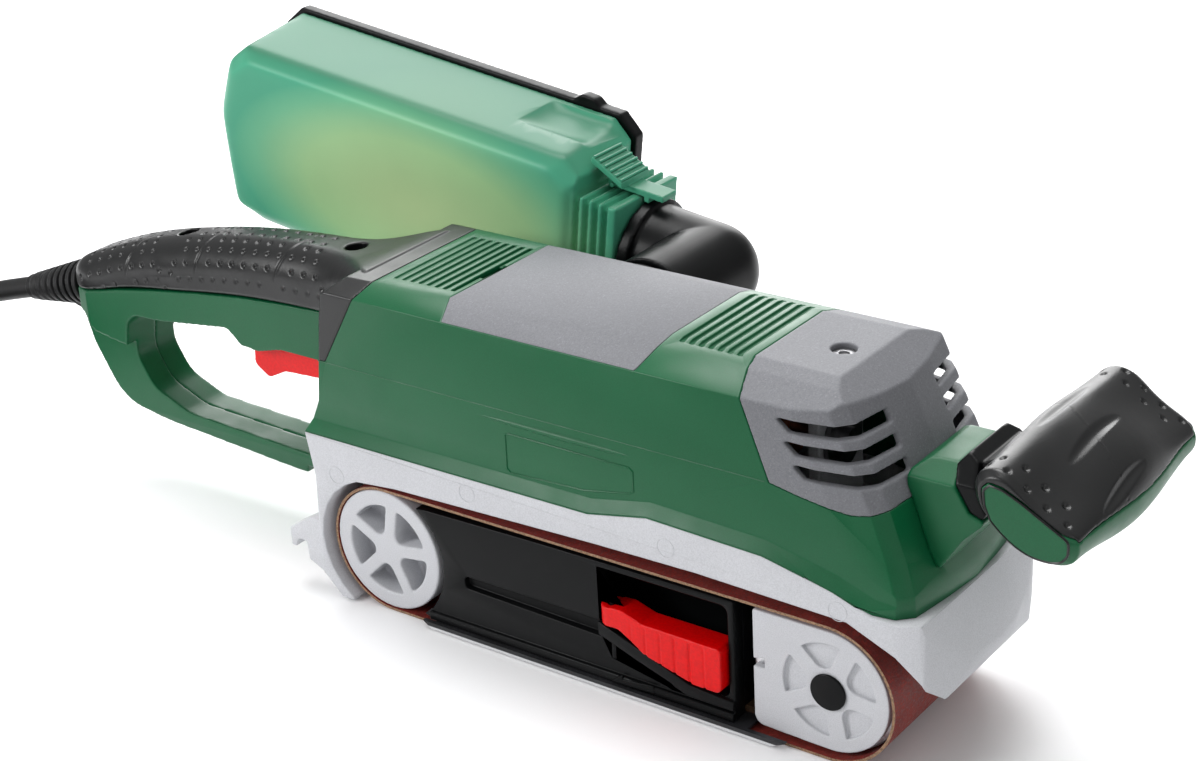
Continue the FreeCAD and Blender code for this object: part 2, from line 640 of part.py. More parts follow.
def tension_yoke():
    """Fork that carries the axle; its tongue slides in the chassis."""
    tongue = box(32, 66, -13.6, 27.6, 14.4, 36.6)
    bridge = box(63.4, 67, PLATE_Y + 3, 37.4, 8, 42)
    right = box(63.4, ROLLER_X + 7, PLATE_Y + 3, -31.6, 12, 40)
    left = box(63.4, ROLLER_X + 7, 35.6, 37.4, 12, 40)
    yoke = fuse([tongue, bridge, right, left])
    return yoke.cut(rod(AXLE_R, (ROLLER_X, -40, AXIS_Z), (ROLLER_X, 40, AXIS_Z)))


def tension_spring():
    """Compression spring that pushes the carriage forwards."""
    helix = Part.makeHelix(3.3, 16.2, 6.0)
    profile = Part.Wire([Part.makeCircle(0.9, Vector(6.0, 0, 0), Vector(0, 1, 0))])
    coil = Part.Wire(helix.Edges).makePipeShell([profile], True, True)
    coil.rotate(Vector(0, 0, 0), Vector(0, 1, 0), 90)
    coil.translate(Vector(14.8, 7, AXIS_Z))
    return coil


def tension_lever():
    """Red lever that slackens the belt; it turns on an upright pin at its rear end."""
    side = [(3.6, 26.3), (3.6, 28.4), (9.5, 33.6, 2), (14.5, 34.0, 2), (23, 31.4, 3), (55.2, 31.4, 1.5),
            (55.2, 14.4, 2.5), (44, 14.4, 4), (24, 19.6, 6), (13.6, 25.9)]
    reach = prism_z([(LEVER_X, LEVER_Y - 4.6), (24, -41.4), (55.2, -41.8), (55.2, -31.5),
                     (LEVER_X, LEVER_Y + 4.6)], 0, 60)
    plan = fuse([reach, rod(4.6, (LEVER_X, LEVER_Y, 0), (LEVER_X, LEVER_Y, 60))])
    handle = prism_y(side, -50, -20).common(plan)
    for i in range(6):
        x = 18.0 + 6.0 * i
        handle = handle.cut(box(x, x + 0.9, -50, -41.0, 0, 30.2))
    boss = rod(4.6, (LEVER_X, LEVER_Y, 25.9), (LEVER_X, LEVER_Y, 33.2))
    return fuse([handle, boss]).cut(rod(2.0 + RUN, (LEVER_X, LEVER_Y, 0), (LEVER_X, LEVER_Y, 60)))


def lever_pin():
    return rod(2.0, (LEVER_X, LEVER_Y, 12), (LEVER_X, LEVER_Y, 33.9))


def tracking_knob():
    """Small knob on the left side that trims how the belt runs."""
    knob = fuse([rod(11.0, (TRACK_X, 41.4, TRACK_Z), (TRACK_X, 50, TRACK_Z)),
                 rod(2.95, (TRACK_X, 38.6, TRACK_Z), (TRACK_X, 42, TRACK_Z))])
    for i in range(10):
        angle = math.radians(36 * i)
        x = TRACK_X + 11.6 * math.cos(angle)
        z = TRACK_Z + 11.6 * math.sin(angle)
        knob = knob.cut(rod(1.6, (x, 41, z), (x, 53, z)))
    return knob


# ---- rear handle fittings -----------------------------------------------------------------
def trigger():
    shape = [(-179, 71, 3), (-172, 66.5, 2), (-163, 71.0, 6), (-131, 73, 2), (-126, 75, 2), (-126, 83, 1),
             (-160, 83.6, 4),
             (-178, 82.4, 1)]
    paddle = prism_y(shape, -TRIGGER_HALF, TRIGGER_HALF)
    paddle = paddle.cut(box(DIAL_X - 10, DIAL_X + 10, -3.6, 3.6, 60, 90))
    return paddle.cut(rod(DIAL_AXLE_R + RUN, (DIAL_X, -9.5, DIAL_Z), (DIAL_X, 9.5, DIAL_Z)))


def speed_dial():
    """Knurled wheel let into the trigger; it sets the belt speed."""
    wheel = rod(7.2, (DIAL_X, -3.2, DIAL_Z), (DIAL_X, 3.2, DIAL_Z))
    for i in range(18):
        angle = math.radians(20 * i)
        x = DIAL_X + 7.5 * math.cos(angle)
        z = DIAL_Z + 7.5 * math.sin(angle)
        wheel = wheel.cut(rod(0.6, (x, -4, z), (x, 4, z)))
    return fuse([wheel, rod(DIAL_AXLE_R, (DIAL_X, -9, DIAL_Z), (DIAL_X, 9, DIAL_Z))])


def lock_button():
    return rod(4.0, (LOCK_X, 6.6, LOCK_Z), (LOCK_X, 18.6, LOCK_Z))


def switch_module():
    return prism_y([(-170, 91.5), (-128, 91.5), (-128, 97.4), (-170, 96.2)], -6.5, 6.5)


CORD_EXIT = (-278.5, 0.0, 82.0)
CORD_DIR = Vector(-0.965, 0, -0.262)
GUARD_LENGTH = 40.0


def along_cord(distance):
    p = Vector(*CORD_EXIT) + CORD_DIR * distance
    return (p.x, p.y, p.z)


def cord_guard():
    """Ribbed strain relief around the cord where it leaves the handle."""
    core = cone(8.0, 5.4, along_cord(-4), along_cord(GUARD_LENGTH))
    ribs = [cone(10.2 - 0.55 * i, 9.8 - 0.55 * i, along_cord(0.5 + 4.7 * i),
                 along_cord(3.3 + 4.7 * i)) for i in range(8)]
    web = prism_y([(-279, 88), (-294, 71), (-283, 68), (-275, 55), (-268, 58), (-270, 80)], -2.4, 2.4)
    guard = fuse([core, web] + ribs).cut(prism_y(bow_outline()[0], -30, 30)).cut(grip_cover())
    return largest(guard)


# ---- front knob ---------------------------------------------------------------------------
def handle_bracket():
    side = [(112.5, 102.8), (117.5, 106.6), (128.0, 107.0, 2), (129.2, 102.0, 3), (134.4, 93.6),
            (140.2, 91.6, 1),
            (132.5, 83.8), (124.2, 71.2, 1), (119.5, 76), (113, 96)]
    body = prism_y(side, -20, 20)
    crown = prism_x(both_sides([(20, 60), (20, 101.5), (12, 107.2)]), 100, 150)
    return body.common(crown).cut(OUTER)


def handle_neck():
    """Black arm between the bracket and the knob, ending in a barrel."""
    arm = prism_y([(130.6, 99.5), (134.6, 93.8), (138.0, 92.2), (157, 103.0), (150, 116.6), (145, 113.5),
                   (129.3, 105.6)], -12.5, 12.5)
    collar = prism_y([(127.5, 107.2), (129.4, 101.8), (134.5, 93.7), (138.6, 92.2), (140.0, 94.2),
                      (137.4, 99.5),
                      (134.6, 108.8), (130.5, 111.0)], -19.4, 19.4)
    crown = prism_x(both_sides([(19.4, 60), (19.4, 102.5), (12.5, 110.6), (4, 111.2)]), 100, 150)
    barrel = rod(8.8, (KNOB_X, -12.5, KNOB_Z), (KNOB_X, 12.5, KNOB_Z))
    bracket = handle_bracket()
    neck = fuse([arm.cut(bracket), collar.common(crown).cut(bracket), barrel])
    return neck.cut(rod(3.0 + RUN, (KNOB_X, -30, KNOB_Z), (KNOB_X, 30, KNOB_Z)))


def knob_section(y, points):
    """Smooth closed curve in a plane of constant y."""
    curve = Part.BSplineCurve()
    curve.interpolate([Vector(x, y, z) for x, z in points], PeriodicFlag=True)
    return Part.Wire([curve.toShape()])


def knob_solid():
    middle = [(140.5, 107), (146, 121), (154, 126.4), (166, 123.6), (178, 117.2), (184.2, 106.4),
              (180.5, 95.5),
              (168, 89.5), (154, 92), (144, 97)]
    end = [(147.6, 116), (150.4, 122.8), (155.5, 124.0), (164.5, 118.4), (174, 112.2), (181.0, 106.4),
           (180.0, 100.4),
           (171.5, 97.6), (160.5, 101.0), (151.4, 108.6)]

    def between(share, shrink=1.0):
        cx, cz = 165.0, 110.0
        mixed = [((1 - share) * m[0] + share * e[0], (1 - share) * m[1] + share * e[1]) for m,
                 e in zip(middle, end)]
        return [(cx + (x - cx) * shrink, cz + (z - cz) * shrink) for x, z in mixed]

    def section(part_of_half, shrink=1.0):
        share = abs(part_of_half)
        return knob_section(part_of_half * edge, between(share * share * (3 - 2 * share), shrink))

    edge = KNOB_HALF - 2.5
    body = loft([section(i / 4) for i in range(-4, 5)])
    caps = []
    for side in (-1, 1):
        caps.append(loft([section(side), knob_section(side * KNOB_HALF, between(1.0, 0.86))], True))
    return fuse([body] + caps)


def knob_room():
    """Slot in the back of the knob for the neck, wide enough for the tilt."""
    room = prism_y([(KNOB_X, KNOB_Z + 9.6), (130, KNOB_Z + 26), (120, 70), (165, 80),
                    (KNOB_X + 4, KNOB_Z - 9.0)], -13.0, 13.0)
    return room.fuse(rod(9.4, (KNOB_X, -13.0, KNOB_Z), (KNOB_X, 13.0, KNOB_Z)))


def green_zone():
    """The green lower shell reaches up both ends of the knob."""
    low = [(186, 70), (190, 107), (181.4, 106.9), (176, 104), (158, 104), (152.5, 109), (158, 70)]
    ends = [(150.8, 117.8), (153, 120), (157.5, 119.4), (164, 116.4), (172, 111.6), (181.4, 106.9),
            (190, 107),
            (186, 70), (163, 70), (155.8, 106), (151.4, 112)]
    parts = [prism_y(low, -50, 50)]
    for side in (-1, 1):
        parts.append(prism_y(ends, *sorted((side * (KNOB_HALF - 3.0), side * 60))))
    return fuse(parts)


def knob_parts():
    solid = knob_solid()
    pin = rod(3.0, (KNOB_X, -22, KNOB_Z), (KNOB_X, 22, KNOB_Z))
    whole = solid.cut(knob_room())
    base = whole.common(green_zone())
    grip = whole.cut(green_zone()).cut(pin)
    base = base.cut(pin)
    return grip, base, pin


# ---- dust box on its swivel elbow ----------------------------------------------------------
def place_box(shape):
    """Dust box parts are drawn level, then tilted about the outlet axis."""
    return turned(shape, BOX_TILT, OUTLET_X, OUTLET_Z)


def dust_outlet():
    """Short black spigot on the left of the housing."""
    spigot = ring(OUTLET_R - 0.4, OUTLET_R - 2.6, (OUTLET_X, 33, OUTLET_Z), (OUTLET_X, 56, OUTLET_Z))
    flange = ring(OUTLET_R + 1.5, OUTLET_R - 2.6, (OUTLET_X, 33, OUTLET_Z), (OUTLET_X, 39.5, OUTLET_Z))
    return fuse([spigot, flange]).cut(INNER.common(box(-60, 30, 0, 33.4, 60, 140)))


def dust_elbow():
    """Black elbow: one leg turns on the spigot, the other plugs into the box."""
    corner = (OUTLET_X, BOX_Y, OUTLET_Z)
    outer = fuse([rod(ELBOW_R, (OUTLET_X, 40.6, OUTLET_Z), corner),
                  Part.makeSphere(ELBOW_R, Vector(*corner)),
                  rod(ELBOW_R, corner, (OUTLET_X - 24, BOX_Y, OUTLET_Z)),
                  rod(ELBOW_R + 2.0, (OUTLET_X - 24, BOX_Y, OUTLET_Z), (OUTLET_X - 29, BOX_Y, OUTLET_Z)),
                  rod(PLUG_R, (OUTLET_X - 29, BOX_Y, OUTLET_Z), (OUTLET_X - 54, BOX_Y, OUTLET_Z))])
    bore = OUTLET_R - 0.4 + RUN
    duct = 13.2
    for cut in (rod(bore, (OUTLET_X, 40, OUTLET_Z), (OUTLET_X, 58, OUTLET_Z)),
                rod(duct, (OUTLET_X, 55, OUTLET_Z), corner), Part.makeSphere(duct, Vector(*corner)),
                rod(duct, corner, (OUTLET_X - 70, BOX_Y, OUTLET_Z))):
        outer = outer.cut(cut)
    return place_box(outer)


PLUG_R = 15.6                # the elbow's leg inside the box's neck
BOX_FRONT = OUTLET_X - 48.0
BOX_REAR = OUTLET_X - 227.5
BOX_TOP = OUTLET_Z + 35.0
BOX_LOW = OUTLET_Z - 40.0
NEAR_Y = 57.0
RIM_Y = 103.0
HINGE_X = BOX_REAR - 11.5    # lid hinge behind the rear rim
HINGE_Y = 104.6


def box_side(inset, y, spread):
    """Side view of the dust box at one y, level, drawn from the neck end round."""
    front = BOX_FRONT - inset - spread
    rear = BOX_REAR + inset - spread
    top = BOX_TOP - inset + spread * 0.3
    low = BOX_LOW + inset
    points = [(front, low + 8), (front, top - 7), (front - 8, top), (rear + 10, top + 0.5),
              (rear + 1.5, top - 8),
              (rear - 1.5, OUTLET_Z + 4), (rear + 4, OUTLET_Z - 34), (rear + 18, low), (front - 8, low)]
    return outline([(x, y, z) for x, z in points])


def dust_box_shell():
    outer = loft([box_side(5, NEAR_Y, 0), box_side(0, NEAR_Y + 5, 0), box_side(0, RIM_Y, 6)], True)
    room = loft([box_side(7, NEAR_Y + 2.2, 0), box_side(2.2, NEAR_Y + 7.2, 0),
                 box_side(2.2, RIM_Y + 1, 6.1)], True)
    neck = box(BOX_FRONT - 3, OUTLET_X - 30, BOX_Y - 20.5, BOX_Y + 20.5, OUTLET_Z - 20.5, OUTLET_Z + 22.5)
    shell = fuse([outer, neck]).cut(room)
    shell = shell.cut(rod(PLUG_R + RUN, (OUTLET_X - 20, BOX_Y, OUTLET_Z), (OUTLET_X - 70, BOX_Y, OUTLET_Z)))
    core = box(-200, 0, BOX_Y - 18, BOX_Y + 18, OUTLET_Z - 18, OUTLET_Z + 20)
    for i in range(4):
        x = OUTLET_X - 34.0 - 4.3 * i
        shell = shell.cut(box(x - 2.3, x, 40, 120, OUTLET_Z - 40, OUTLET_Z + 40).cut(core))
    return place_box(shell)


def dust_box_lid():
    """Black lid over the open side, with a thumb latch."""
    plate = loft([box_side(-1.6, RIM_Y + 0.1, 6), box_side(-1.6, RIM_Y + 5.6, 6),
                  box_side(4, RIM_Y + 8, 6)], True)
    recess = loft([box_side(4, RIM_Y, 6), box_side(4, RIM_Y + 3.2, 6)], True)
    latch = prism_y([(BOX_FRONT - 36, BOX_TOP + 2.6), (BOX_FRONT - 31, BOX_TOP + 6.4, 3),
                     (BOX_FRONT - 25, BOX_TOP + 6.0, 3),
                     (BOX_FRONT - 20, BOX_TOP + 2.0)], RIM_Y + 0.1, RIM_Y + 5.6)
    barrel = rod(2.2, (HINGE_X, HINGE_Y, OUTLET_Z - 16), (HINGE_X, HINGE_Y, OUTLET_Z + 22))
    leaf = box(HINGE_X, BOX_REAR - 4, HINGE_Y - 0.9, HINGE_Y + 1.2, OUTLET_Z - 16, OUTLET_Z + 22)
    return place_box(fuse([plate.cut(recess), latch, leaf, barrel]))


def filter_cassette():
    """Pleated filter clipped into the lid."""
    block = box(BOX_REAR + 22, BOX_FRONT - 22, RIM_Y - 20, RIM_Y + 3.2, OUTLET_Z - 28, OUTLET_Z + 25)
    pleat = 7.0
    for i in range(int((BOX_FRONT - BOX_REAR - 58) / pleat)):
        x = BOX_REAR + 28 + i * pleat
        block = block.cut(box(x, x + 3, RIM_Y - 21, RIM_Y - 5, OUTLET_Z - 25, OUTLET_Z + 22))
    return place_box(block)


def box_clip():
    """Sprung clip that holds the box on the elbow."""
    top = OUTLET_Z + 22.8
    pad = prism_y([(OUTLET_X - 50, top + 11.3), (OUTLET_X - 36, top + 4.8), (OUTLET_X - 35.6, top + 2.2),
                   (OUTLET_X - 50.4, top + 8.8)], BOX_Y - 9, BOX_Y + 9)
    tongue = box(OUTLET_X - 44, OUTLET_X - 20, BOX_Y - 4.5, BOX_Y + 4.5, top, top + 2.4)
    post = box(OUTLET_X - 45, OUTLET_X - 40, BOX_Y - 4.5, BOX_Y + 4.5, top, top + 7.3)
    hook = box(OUTLET_X - 28.4, OUTLET_X - 26.2, BOX_Y - 4.5, BOX_Y + 4.5, top - 2, top + 1)
    barrel = rod(1.0, (OUTLET_X - 42.5, BOX_Y - 6, top + 1.0), (OUTLET_X - 42.5, BOX_Y + 6, top + 1.0))
    return place_box(fuse([pad, tongue, post, hook, barrel]))


# ---- screws -------------------------------------------------------------------------------
SCREW_PLACES = (((-218, 0, 106.5), (0, 0, -1)), ((-129.4, 0, 118), (0, 0, -1)),
                ((80, -2, 129.0), (0, 0, -1)),
                ((-84, 54.4, 105), (0, -1, 0)), ((-111, 54.4, 27), (0, -1, 0)),
                ((-74, 54.4, 27), (0, -1, 0)))


def screws():
    """Identical socket-head screws: two in the grip, one in the nose cover, three in the belt cover."""
    made = []
    for head, down in SCREW_PLACES:
        start = Vector(*head)
        axis = Vector(*down)
        shank = Part.makeCylinder(SCREW_R, 1.8, start, axis)
        made.append(shank.cut(Part.makeCylinder(1.7, 1.0, start, axis)))
    return Part.makeCompound(made)


# ---- cord ---------------------------------------------------------------------------------
COIL_RADIUS = 49.0           # middle of the turns
COIL_WIDE = 2
COIL_HIGH = 4
COIL_X = -421.0
COIL_Y = -55.5
PLUG_Z = 17.0

ROUTE = [along_cord(GUARD_LENGTH), (-340.0, 0.0, 65.2), (-365.0, 1.5, 55.8), (-389.0, 2.0, 45.0),
         (-409.0, 0.5, 37.2),
         (-422.0, -1.5, 33.2), (-431.0, -3.2, 31.9)]


def route_length_and_edges(points):
    """Straight runs joined by tangent arcs, each as large as its two runs allow."""
    corners = [Vector(*p) for p in points]
    edges = []
    radii = []
    start = corners[0]
    for before, here, after in zip(corners, corners[1:], corners[2:]):
        back = (before - here)
        ahead = (after - here)
        turn = math.pi - back.getAngle(ahead)
        reach = 0.45 * min(back.Length, ahead.Length)
        radius = reach / math.tan(turn / 2)
        enter = here + back.normalize() * reach
        leave = here + ahead.normalize() * reach
        bisector = (back + ahead).normalize()
        middle = here + bisector * (radius / math.cos(turn / 2) - radius)
        edges.append(Part.makeLine(start, enter))
        edges.append(Part.Arc(enter, middle, leave).toShape())
        radii.append(radius)
        start = leave
    edges.append(Part.makeLine(start, corners[-1]))
    return edges, radii


def cord_coil():
    """The wound length of cord as one closed ring on the ground."""
    half = COIL_WIDE * CORD_D / 2
    return ring(COIL_RADIUS + half, COIL_RADIUS - half, (COIL_X, COIL_Y, 0),
                (COIL_X, COIL_Y, COIL_HIGH * CORD_D))


def plug():
    """Moulded two-pin plug lying beside the coil."""
    y = COIL_Y - COIL_RADIUS - CORD_D / 2
    relief = cone(CORD_D / 2 + 0.4, 7.5, (COIL_X + 8, y, PLUG_Z), (COIL_X + 34, y, PLUG_Z))
    body = cone(11.0, 16.0, (COIL_X + 34, y, PLUG_Z), (COIL_X + 56, y, PLUG_Z))
    collar = rod(17.0, (COIL_X + 56, y, PLUG_Z), (COIL_X + 72, y, PLUG_Z))
    pins = [rod(2.4, (COIL_X + 70, y + offset, PLUG_Z), (COIL_X + 91, y + offset,
                                                         PLUG_Z)) for offset in (-9.5, 9.5)]
    return fuse([relief, body, collar] + pins)


def cord_tube():
    edges, radii = route_length_and_edges(ROUTE)
    spine = Part.Wire(edges)
    circle = Part.Wire([Part.makeCircle(CORD_D / 2, Vector(*ROUTE[0]),
                                        Vector(*ROUTE[1]) - Vector(*ROUTE[0]))])
    tube = spine.makePipeShell([circle], True, False, 0)
    expected = math.pi * (CORD_D / 2) ** 2 * spine.Length
    print("cord radii", [round(r, 1) for r in radii], "length", round(spine.Length, 1),
          "volume ratio", round(tube.Volume / expected, 4))
    return tube


def main():
    knob, base, pin = knob_parts()
    grip = grip_cover()
    frame = lower_frame()
    nodes = {
        "motor_housing_shell": motor_housing_shell(),
        "nose_vent_cover": nose_vent_cover(),
        "top_band": top_band(),
        "grip_cover": grip,
        "handle_shell_right": handle_shell(-1, (grip, frame)),
        "handle_shell_left": handle_shell(1, (grip, frame)),
        "lower_frame": frame,
        "sanding_belt": sanding_belt(),
        "graphite_pad": graphite_pad(),
        "sole_plate": sole_plate(),
        "cork_pad": cork_pad(),
        "belt_chassis": belt_chassis(),
        "side_guard": side_guard(),
        "drive_cover": drive_cover(),
        "motor_stator": motor_stator(),
        "armature_core": armature_core(),
        "motor_shaft": motor_shaft(),
        "commutator": commutator(),
        "cooling_fan": cooling_fan(),
        "ball_bearings": ball_bearings(),
        "brush_holders": brush_holders(),
        "carbon_brushes": carbon_brushes(),
        "cross_shaft": cross_shaft(),
        "bevel_gear": bevel_gear(),
        "drive_pulley": drive_pulley(),
        "driven_pulley": driven_pulley(),
        "toothed_belt": toothed_belt(),
        "rear_drum": rear_drum(),
        "drum_sleeve": drum_sleeve(),
        "drum_shaft": drum_shaft(),
        "front_roller": front_roller(),
        "roller_axle": roller_axle(),
        "yoke_cover": yoke_cover(),
        "axle_cap": axle_cap(),
        "tension_yoke": tension_yoke(),
        "tension_spring": tension_spring(),
        "tension_lever": tension_lever(),
        "lever_pin": lever_pin(),
        "tracking_knob": tracking_knob(),
        "trigger": trigger(),
        "speed_dial": speed_dial(),
        "lock_button": lock_button(),
        "switch_module": switch_module(),
        "cord_guard": cord_guard(),
        "handle_bracket": handle_bracket(),
        "handle_neck": handle_neck(),
        "knob_grip": knob,
        "knob_base": base,
        "knob_pin": pin,
        "dust_outlet": dust_outlet(),
        "dust_elbow": dust_elbow(),
        "dust_box_shell": dust_box_shell(),
        "dust_box_lid": dust_box_lid(),
        "filter_cassette": filter_cassette(),
        "box_clip": box_clip(),
        "screws": screws(),
        "cord": cord_tube(),
        "cord_coil": cord_coil(),
        "plug": plug(),
    }
    os.makedirs("parts", exist_ok=True)
    for name, shape in nodes.items():
        if not shape.isValid():
            print("invalid", name)
        count = len(shape.Solids)
        print(name, count, round(shape.Volume / 1000, 2))
        shape.exportStep("parts/" + name + ".step")


main()
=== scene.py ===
import json
import math

import bmesh
import bpy
import numpy as np
from mathutils import Matrix, Vector
from mathutils.bvhtree import BVHTree
from mathutils.geometry import convex_hull_2d
from mathutils.kdtree import KDTree

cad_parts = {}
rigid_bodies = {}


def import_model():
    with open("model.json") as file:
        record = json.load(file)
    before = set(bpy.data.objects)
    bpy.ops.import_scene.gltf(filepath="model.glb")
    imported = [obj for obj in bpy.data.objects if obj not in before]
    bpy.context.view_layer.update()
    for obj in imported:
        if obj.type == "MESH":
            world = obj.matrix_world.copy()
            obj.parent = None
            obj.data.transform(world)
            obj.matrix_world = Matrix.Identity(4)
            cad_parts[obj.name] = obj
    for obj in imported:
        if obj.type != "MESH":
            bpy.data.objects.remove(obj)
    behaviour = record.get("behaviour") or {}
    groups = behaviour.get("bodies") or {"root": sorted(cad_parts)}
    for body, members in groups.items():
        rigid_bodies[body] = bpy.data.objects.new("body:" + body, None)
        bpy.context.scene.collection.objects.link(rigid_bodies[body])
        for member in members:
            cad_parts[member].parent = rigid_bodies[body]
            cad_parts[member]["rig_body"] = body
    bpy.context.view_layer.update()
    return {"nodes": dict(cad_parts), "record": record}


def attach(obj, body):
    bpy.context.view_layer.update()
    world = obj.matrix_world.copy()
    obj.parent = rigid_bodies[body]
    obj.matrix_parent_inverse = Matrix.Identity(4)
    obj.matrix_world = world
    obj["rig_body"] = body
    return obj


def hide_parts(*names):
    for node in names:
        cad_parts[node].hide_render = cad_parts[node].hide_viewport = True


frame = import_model()
nodes = frame["nodes"]
MM = 0.001

# ---- camera and cord: they come first --------------------------------------------------------
CAMERA_AT = Vector((433.288, -592.479, 437.167)) * MM
AZIMUTH, ELEVATION, ROLL = (math.radians(a) for a in (37.41786, 24.59940, -3.23965))
LENS = 70.607                 # millimetres on a 36 mm wide frame


def make_camera():
    back = Vector((math.sin(AZIMUTH) * math.cos(ELEVATION), -math.cos(AZIMUTH) * math.cos(ELEVATION),
                   math.sin(ELEVATION)))
    level = Vector((math.cos(AZIMUTH), math.sin(AZIMUTH), 0))
    upright = back.cross(level)
    right = math.cos(ROLL) * level + math.sin(ROLL) * upright
    up = -math.sin(ROLL) * level + math.cos(ROLL) * upright
    data = bpy.data.cameras.new("camera")
    data.lens = LENS
    data.sensor_width = 36.0
    data.clip_start = 0.01
    camera = bpy.data.objects.new("camera", data)
    bpy.context.scene.collection.objects.link(camera)
    turned = Matrix((right, up, back)).transposed().to_4x4()
    camera.matrix_world = Matrix.Translation(CAMERA_AT) @ turned
    bpy.context.scene.camera = camera


make_camera()

CORD_D = 0.009                # metres
LAYER = 9.0                   # millimetres between neighbouring turns
ROUTE = [(-317.1, 0.0, 71.52), (-340.0, 0.0, 65.2), (-365.0, 1.5, 55.8), (-389.0, 2.0, 45.0),
         (-409.0, 0.5, 37.2), (-422.0, -1.5, 33.2), (-431.0, -3.2, 31.9)]
COIL_CENTRE = (-421.0, -55.5)
COIL_RADIUS = 49.0
TURN_POINTS = 16
# Layer and column of each turn of the coil, from the top outside one that the cord arrives on.
TURN_PLACES = ((3, 1), (3, 0), (2, 0), (1, 0), (0, 0), (0, 1), (1, 1), (2, 1))
ARRIVES_AT = 100.8            # degrees round the coil
LEAVES_AT = 276.0             # where the plug's end of the cord begins
PLUG_Z = 17.0


def coil_points():
    """Control points of the neat coil, a diameter between neighbours, ending at the plug."""
    step = 360.0 / TURN_POINTS
    outside = 1 / (0.75 + 0.25 * math.cos(math.radians(step)))      # the spline runs inside its points
    total = int(round(((len(TURN_PLACES) - 1) * 360 + LEAVES_AT - ARRIVES_AT) / step))
    points = []
    for i in range(1, total + 1):
        turn, along = divmod(i, TURN_POINTS)
        change = max(0.0, (along - TURN_POINTS + 4) / 4)    # to the next place near the turn's end
        here = TURN_PLACES[turn]
        there = TURN_PLACES[min(turn + 1, len(TURN_PLACES) - 1)]
        layer, column = (a + (b - a) * change for a, b in zip(here, there))
        radius = (COIL_RADIUS + (column - 0.5) * LAYER) * outside
        z = LAYER / 2 + LAYER * layer
        if i > total - 3:
            z += (PLUG_Z - z) * (i - total + 3) / 3
        angle = math.radians(ARRIVES_AT + i * step)
        points.append((COIL_CENTRE[0] + radius * math.cos(angle),
                       COIL_CENTRE[1] + radius * math.sin(angle), z))
    return points


def make_cord():
    data = bpy.data.curves.new("mains_cord", "CURVE")
    data.dimensions = "3D"
    data.bevel_depth = CORD_D / 2
    data.bevel_resolution = 6
    data.resolution_u = 6
    data.use_fill_caps = True
    points = ROUTE + coil_points()
    spline = data.splines.new("NURBS")
    spline.points.add(len(points) - 1)
    for point, place in zip(spline.points, points):
        point.co = (*(c * MM for c in place), 1)
    spline.order_u = 3
    spline.use_endpoint_u = True
    cord = bpy.data.objects.new("mains_cord", data)
    bpy.context.scene.collection.objects.link(cord)
    return cord


mains_cord = make_cord()

# ---- small material kit -----------------------------------------------------------------------


class Shader:
    """One Principled material with its own node tree, built call by call."""

    def __init__(self, name, **values):
        self.material = bpy.data.materials.new(name)
        self.material.use_nodes = True
        self.tree = self.material.node_tree
        self.bsdf = self.tree.nodes["Principled BSDF"]
        for socket, value in values.items():
            self.bsdf.inputs[socket.replace("_", " ")].default_value = value
        self.place = self.tree.nodes.new("ShaderNodeTexCoord").outputs["Object"]

    def node(self, kind, inputs=None, **settings):
        made = self.tree.nodes.new("ShaderNode" + kind)
        for key, value in settings.items():
            setattr(made, key, value)
        for key, value in (inputs or {}).items():
            if isinstance(value, bpy.types.NodeSocket):
                self.tree.links.new(value, made.inputs[key])
            else:
                made.inputs[key].default_value = value
        return made

    def noise(self, per_metre, detail=3.0, stretch=None):
        place = self.place
        if stretch:
            place = self.node("Mapping", {"Vector": place, "Scale": stretch}).outputs["Vector"]
        made = self.node("TexNoise", {"Vector": place, "Scale": per_metre, "Detail": detail})
        return made.outputs["Fac"]

    def cells(self, per_metre):
        """Distance to the middle of the nearest grain, and one random colour for each grain."""
        made = self.node("TexVoronoi", {"Vector": self.place, "Scale": per_metre})
        return made.outputs["Distance"], made.outputs["Color"]

    def ramp(self, fac, *stops):
        """A colour ramp; each stop is (position, colour)."""
        made = self.node("ValToRGB", {"Fac": fac})
        elements = made.color_ramp.elements
        while len(elements) < len(stops):
            elements.new(0.5)
        for element, (position, colour) in zip(elements, stops):
            element.position = position
            element.color = (*colour, 1)
        return made.outputs["Color"]

    def grey_ramp(self, fac, low_at, low, high_at, high):
        """A number that runs from low to high as fac runs from low_at to high_at."""
        made = self.node("MapRange", {"Value": fac, "From Min": low_at, "From Max": high_at,
                                      "To Min": low, "To Max": high})
        return made.outputs["Result"]

    def mix(self, fac, a, b, blend="MIX"):
        made = self.node("MixRGB", {"Fac": fac, "Color1": a, "Color2": b}, blend_type=blend)
        return made.outputs["Color"]

    def bump(self, height, strength, distance):
        made = self.node("Bump", {"Height": height, "Strength": strength, "Distance": distance})
        self.tree.links.new(made.outputs["Normal"], self.bsdf.inputs["Normal"])

    def set(self, socket, value):
        self.tree.links.new(value, self.bsdf.inputs[socket])


def rgb(r, g, b):
    """Display colour, 0 to 255, to the renderer's linear colour."""
    def linear(c):
        c /= 255
        return c / 12.92 if c <= 0.04045 else ((c + 0.055) / 1.055) ** 2.4
    return (linear(r), linear(g), linear(b))


def shade(colour, factor):
    return tuple(min(1.0, c * factor) for c in colour)


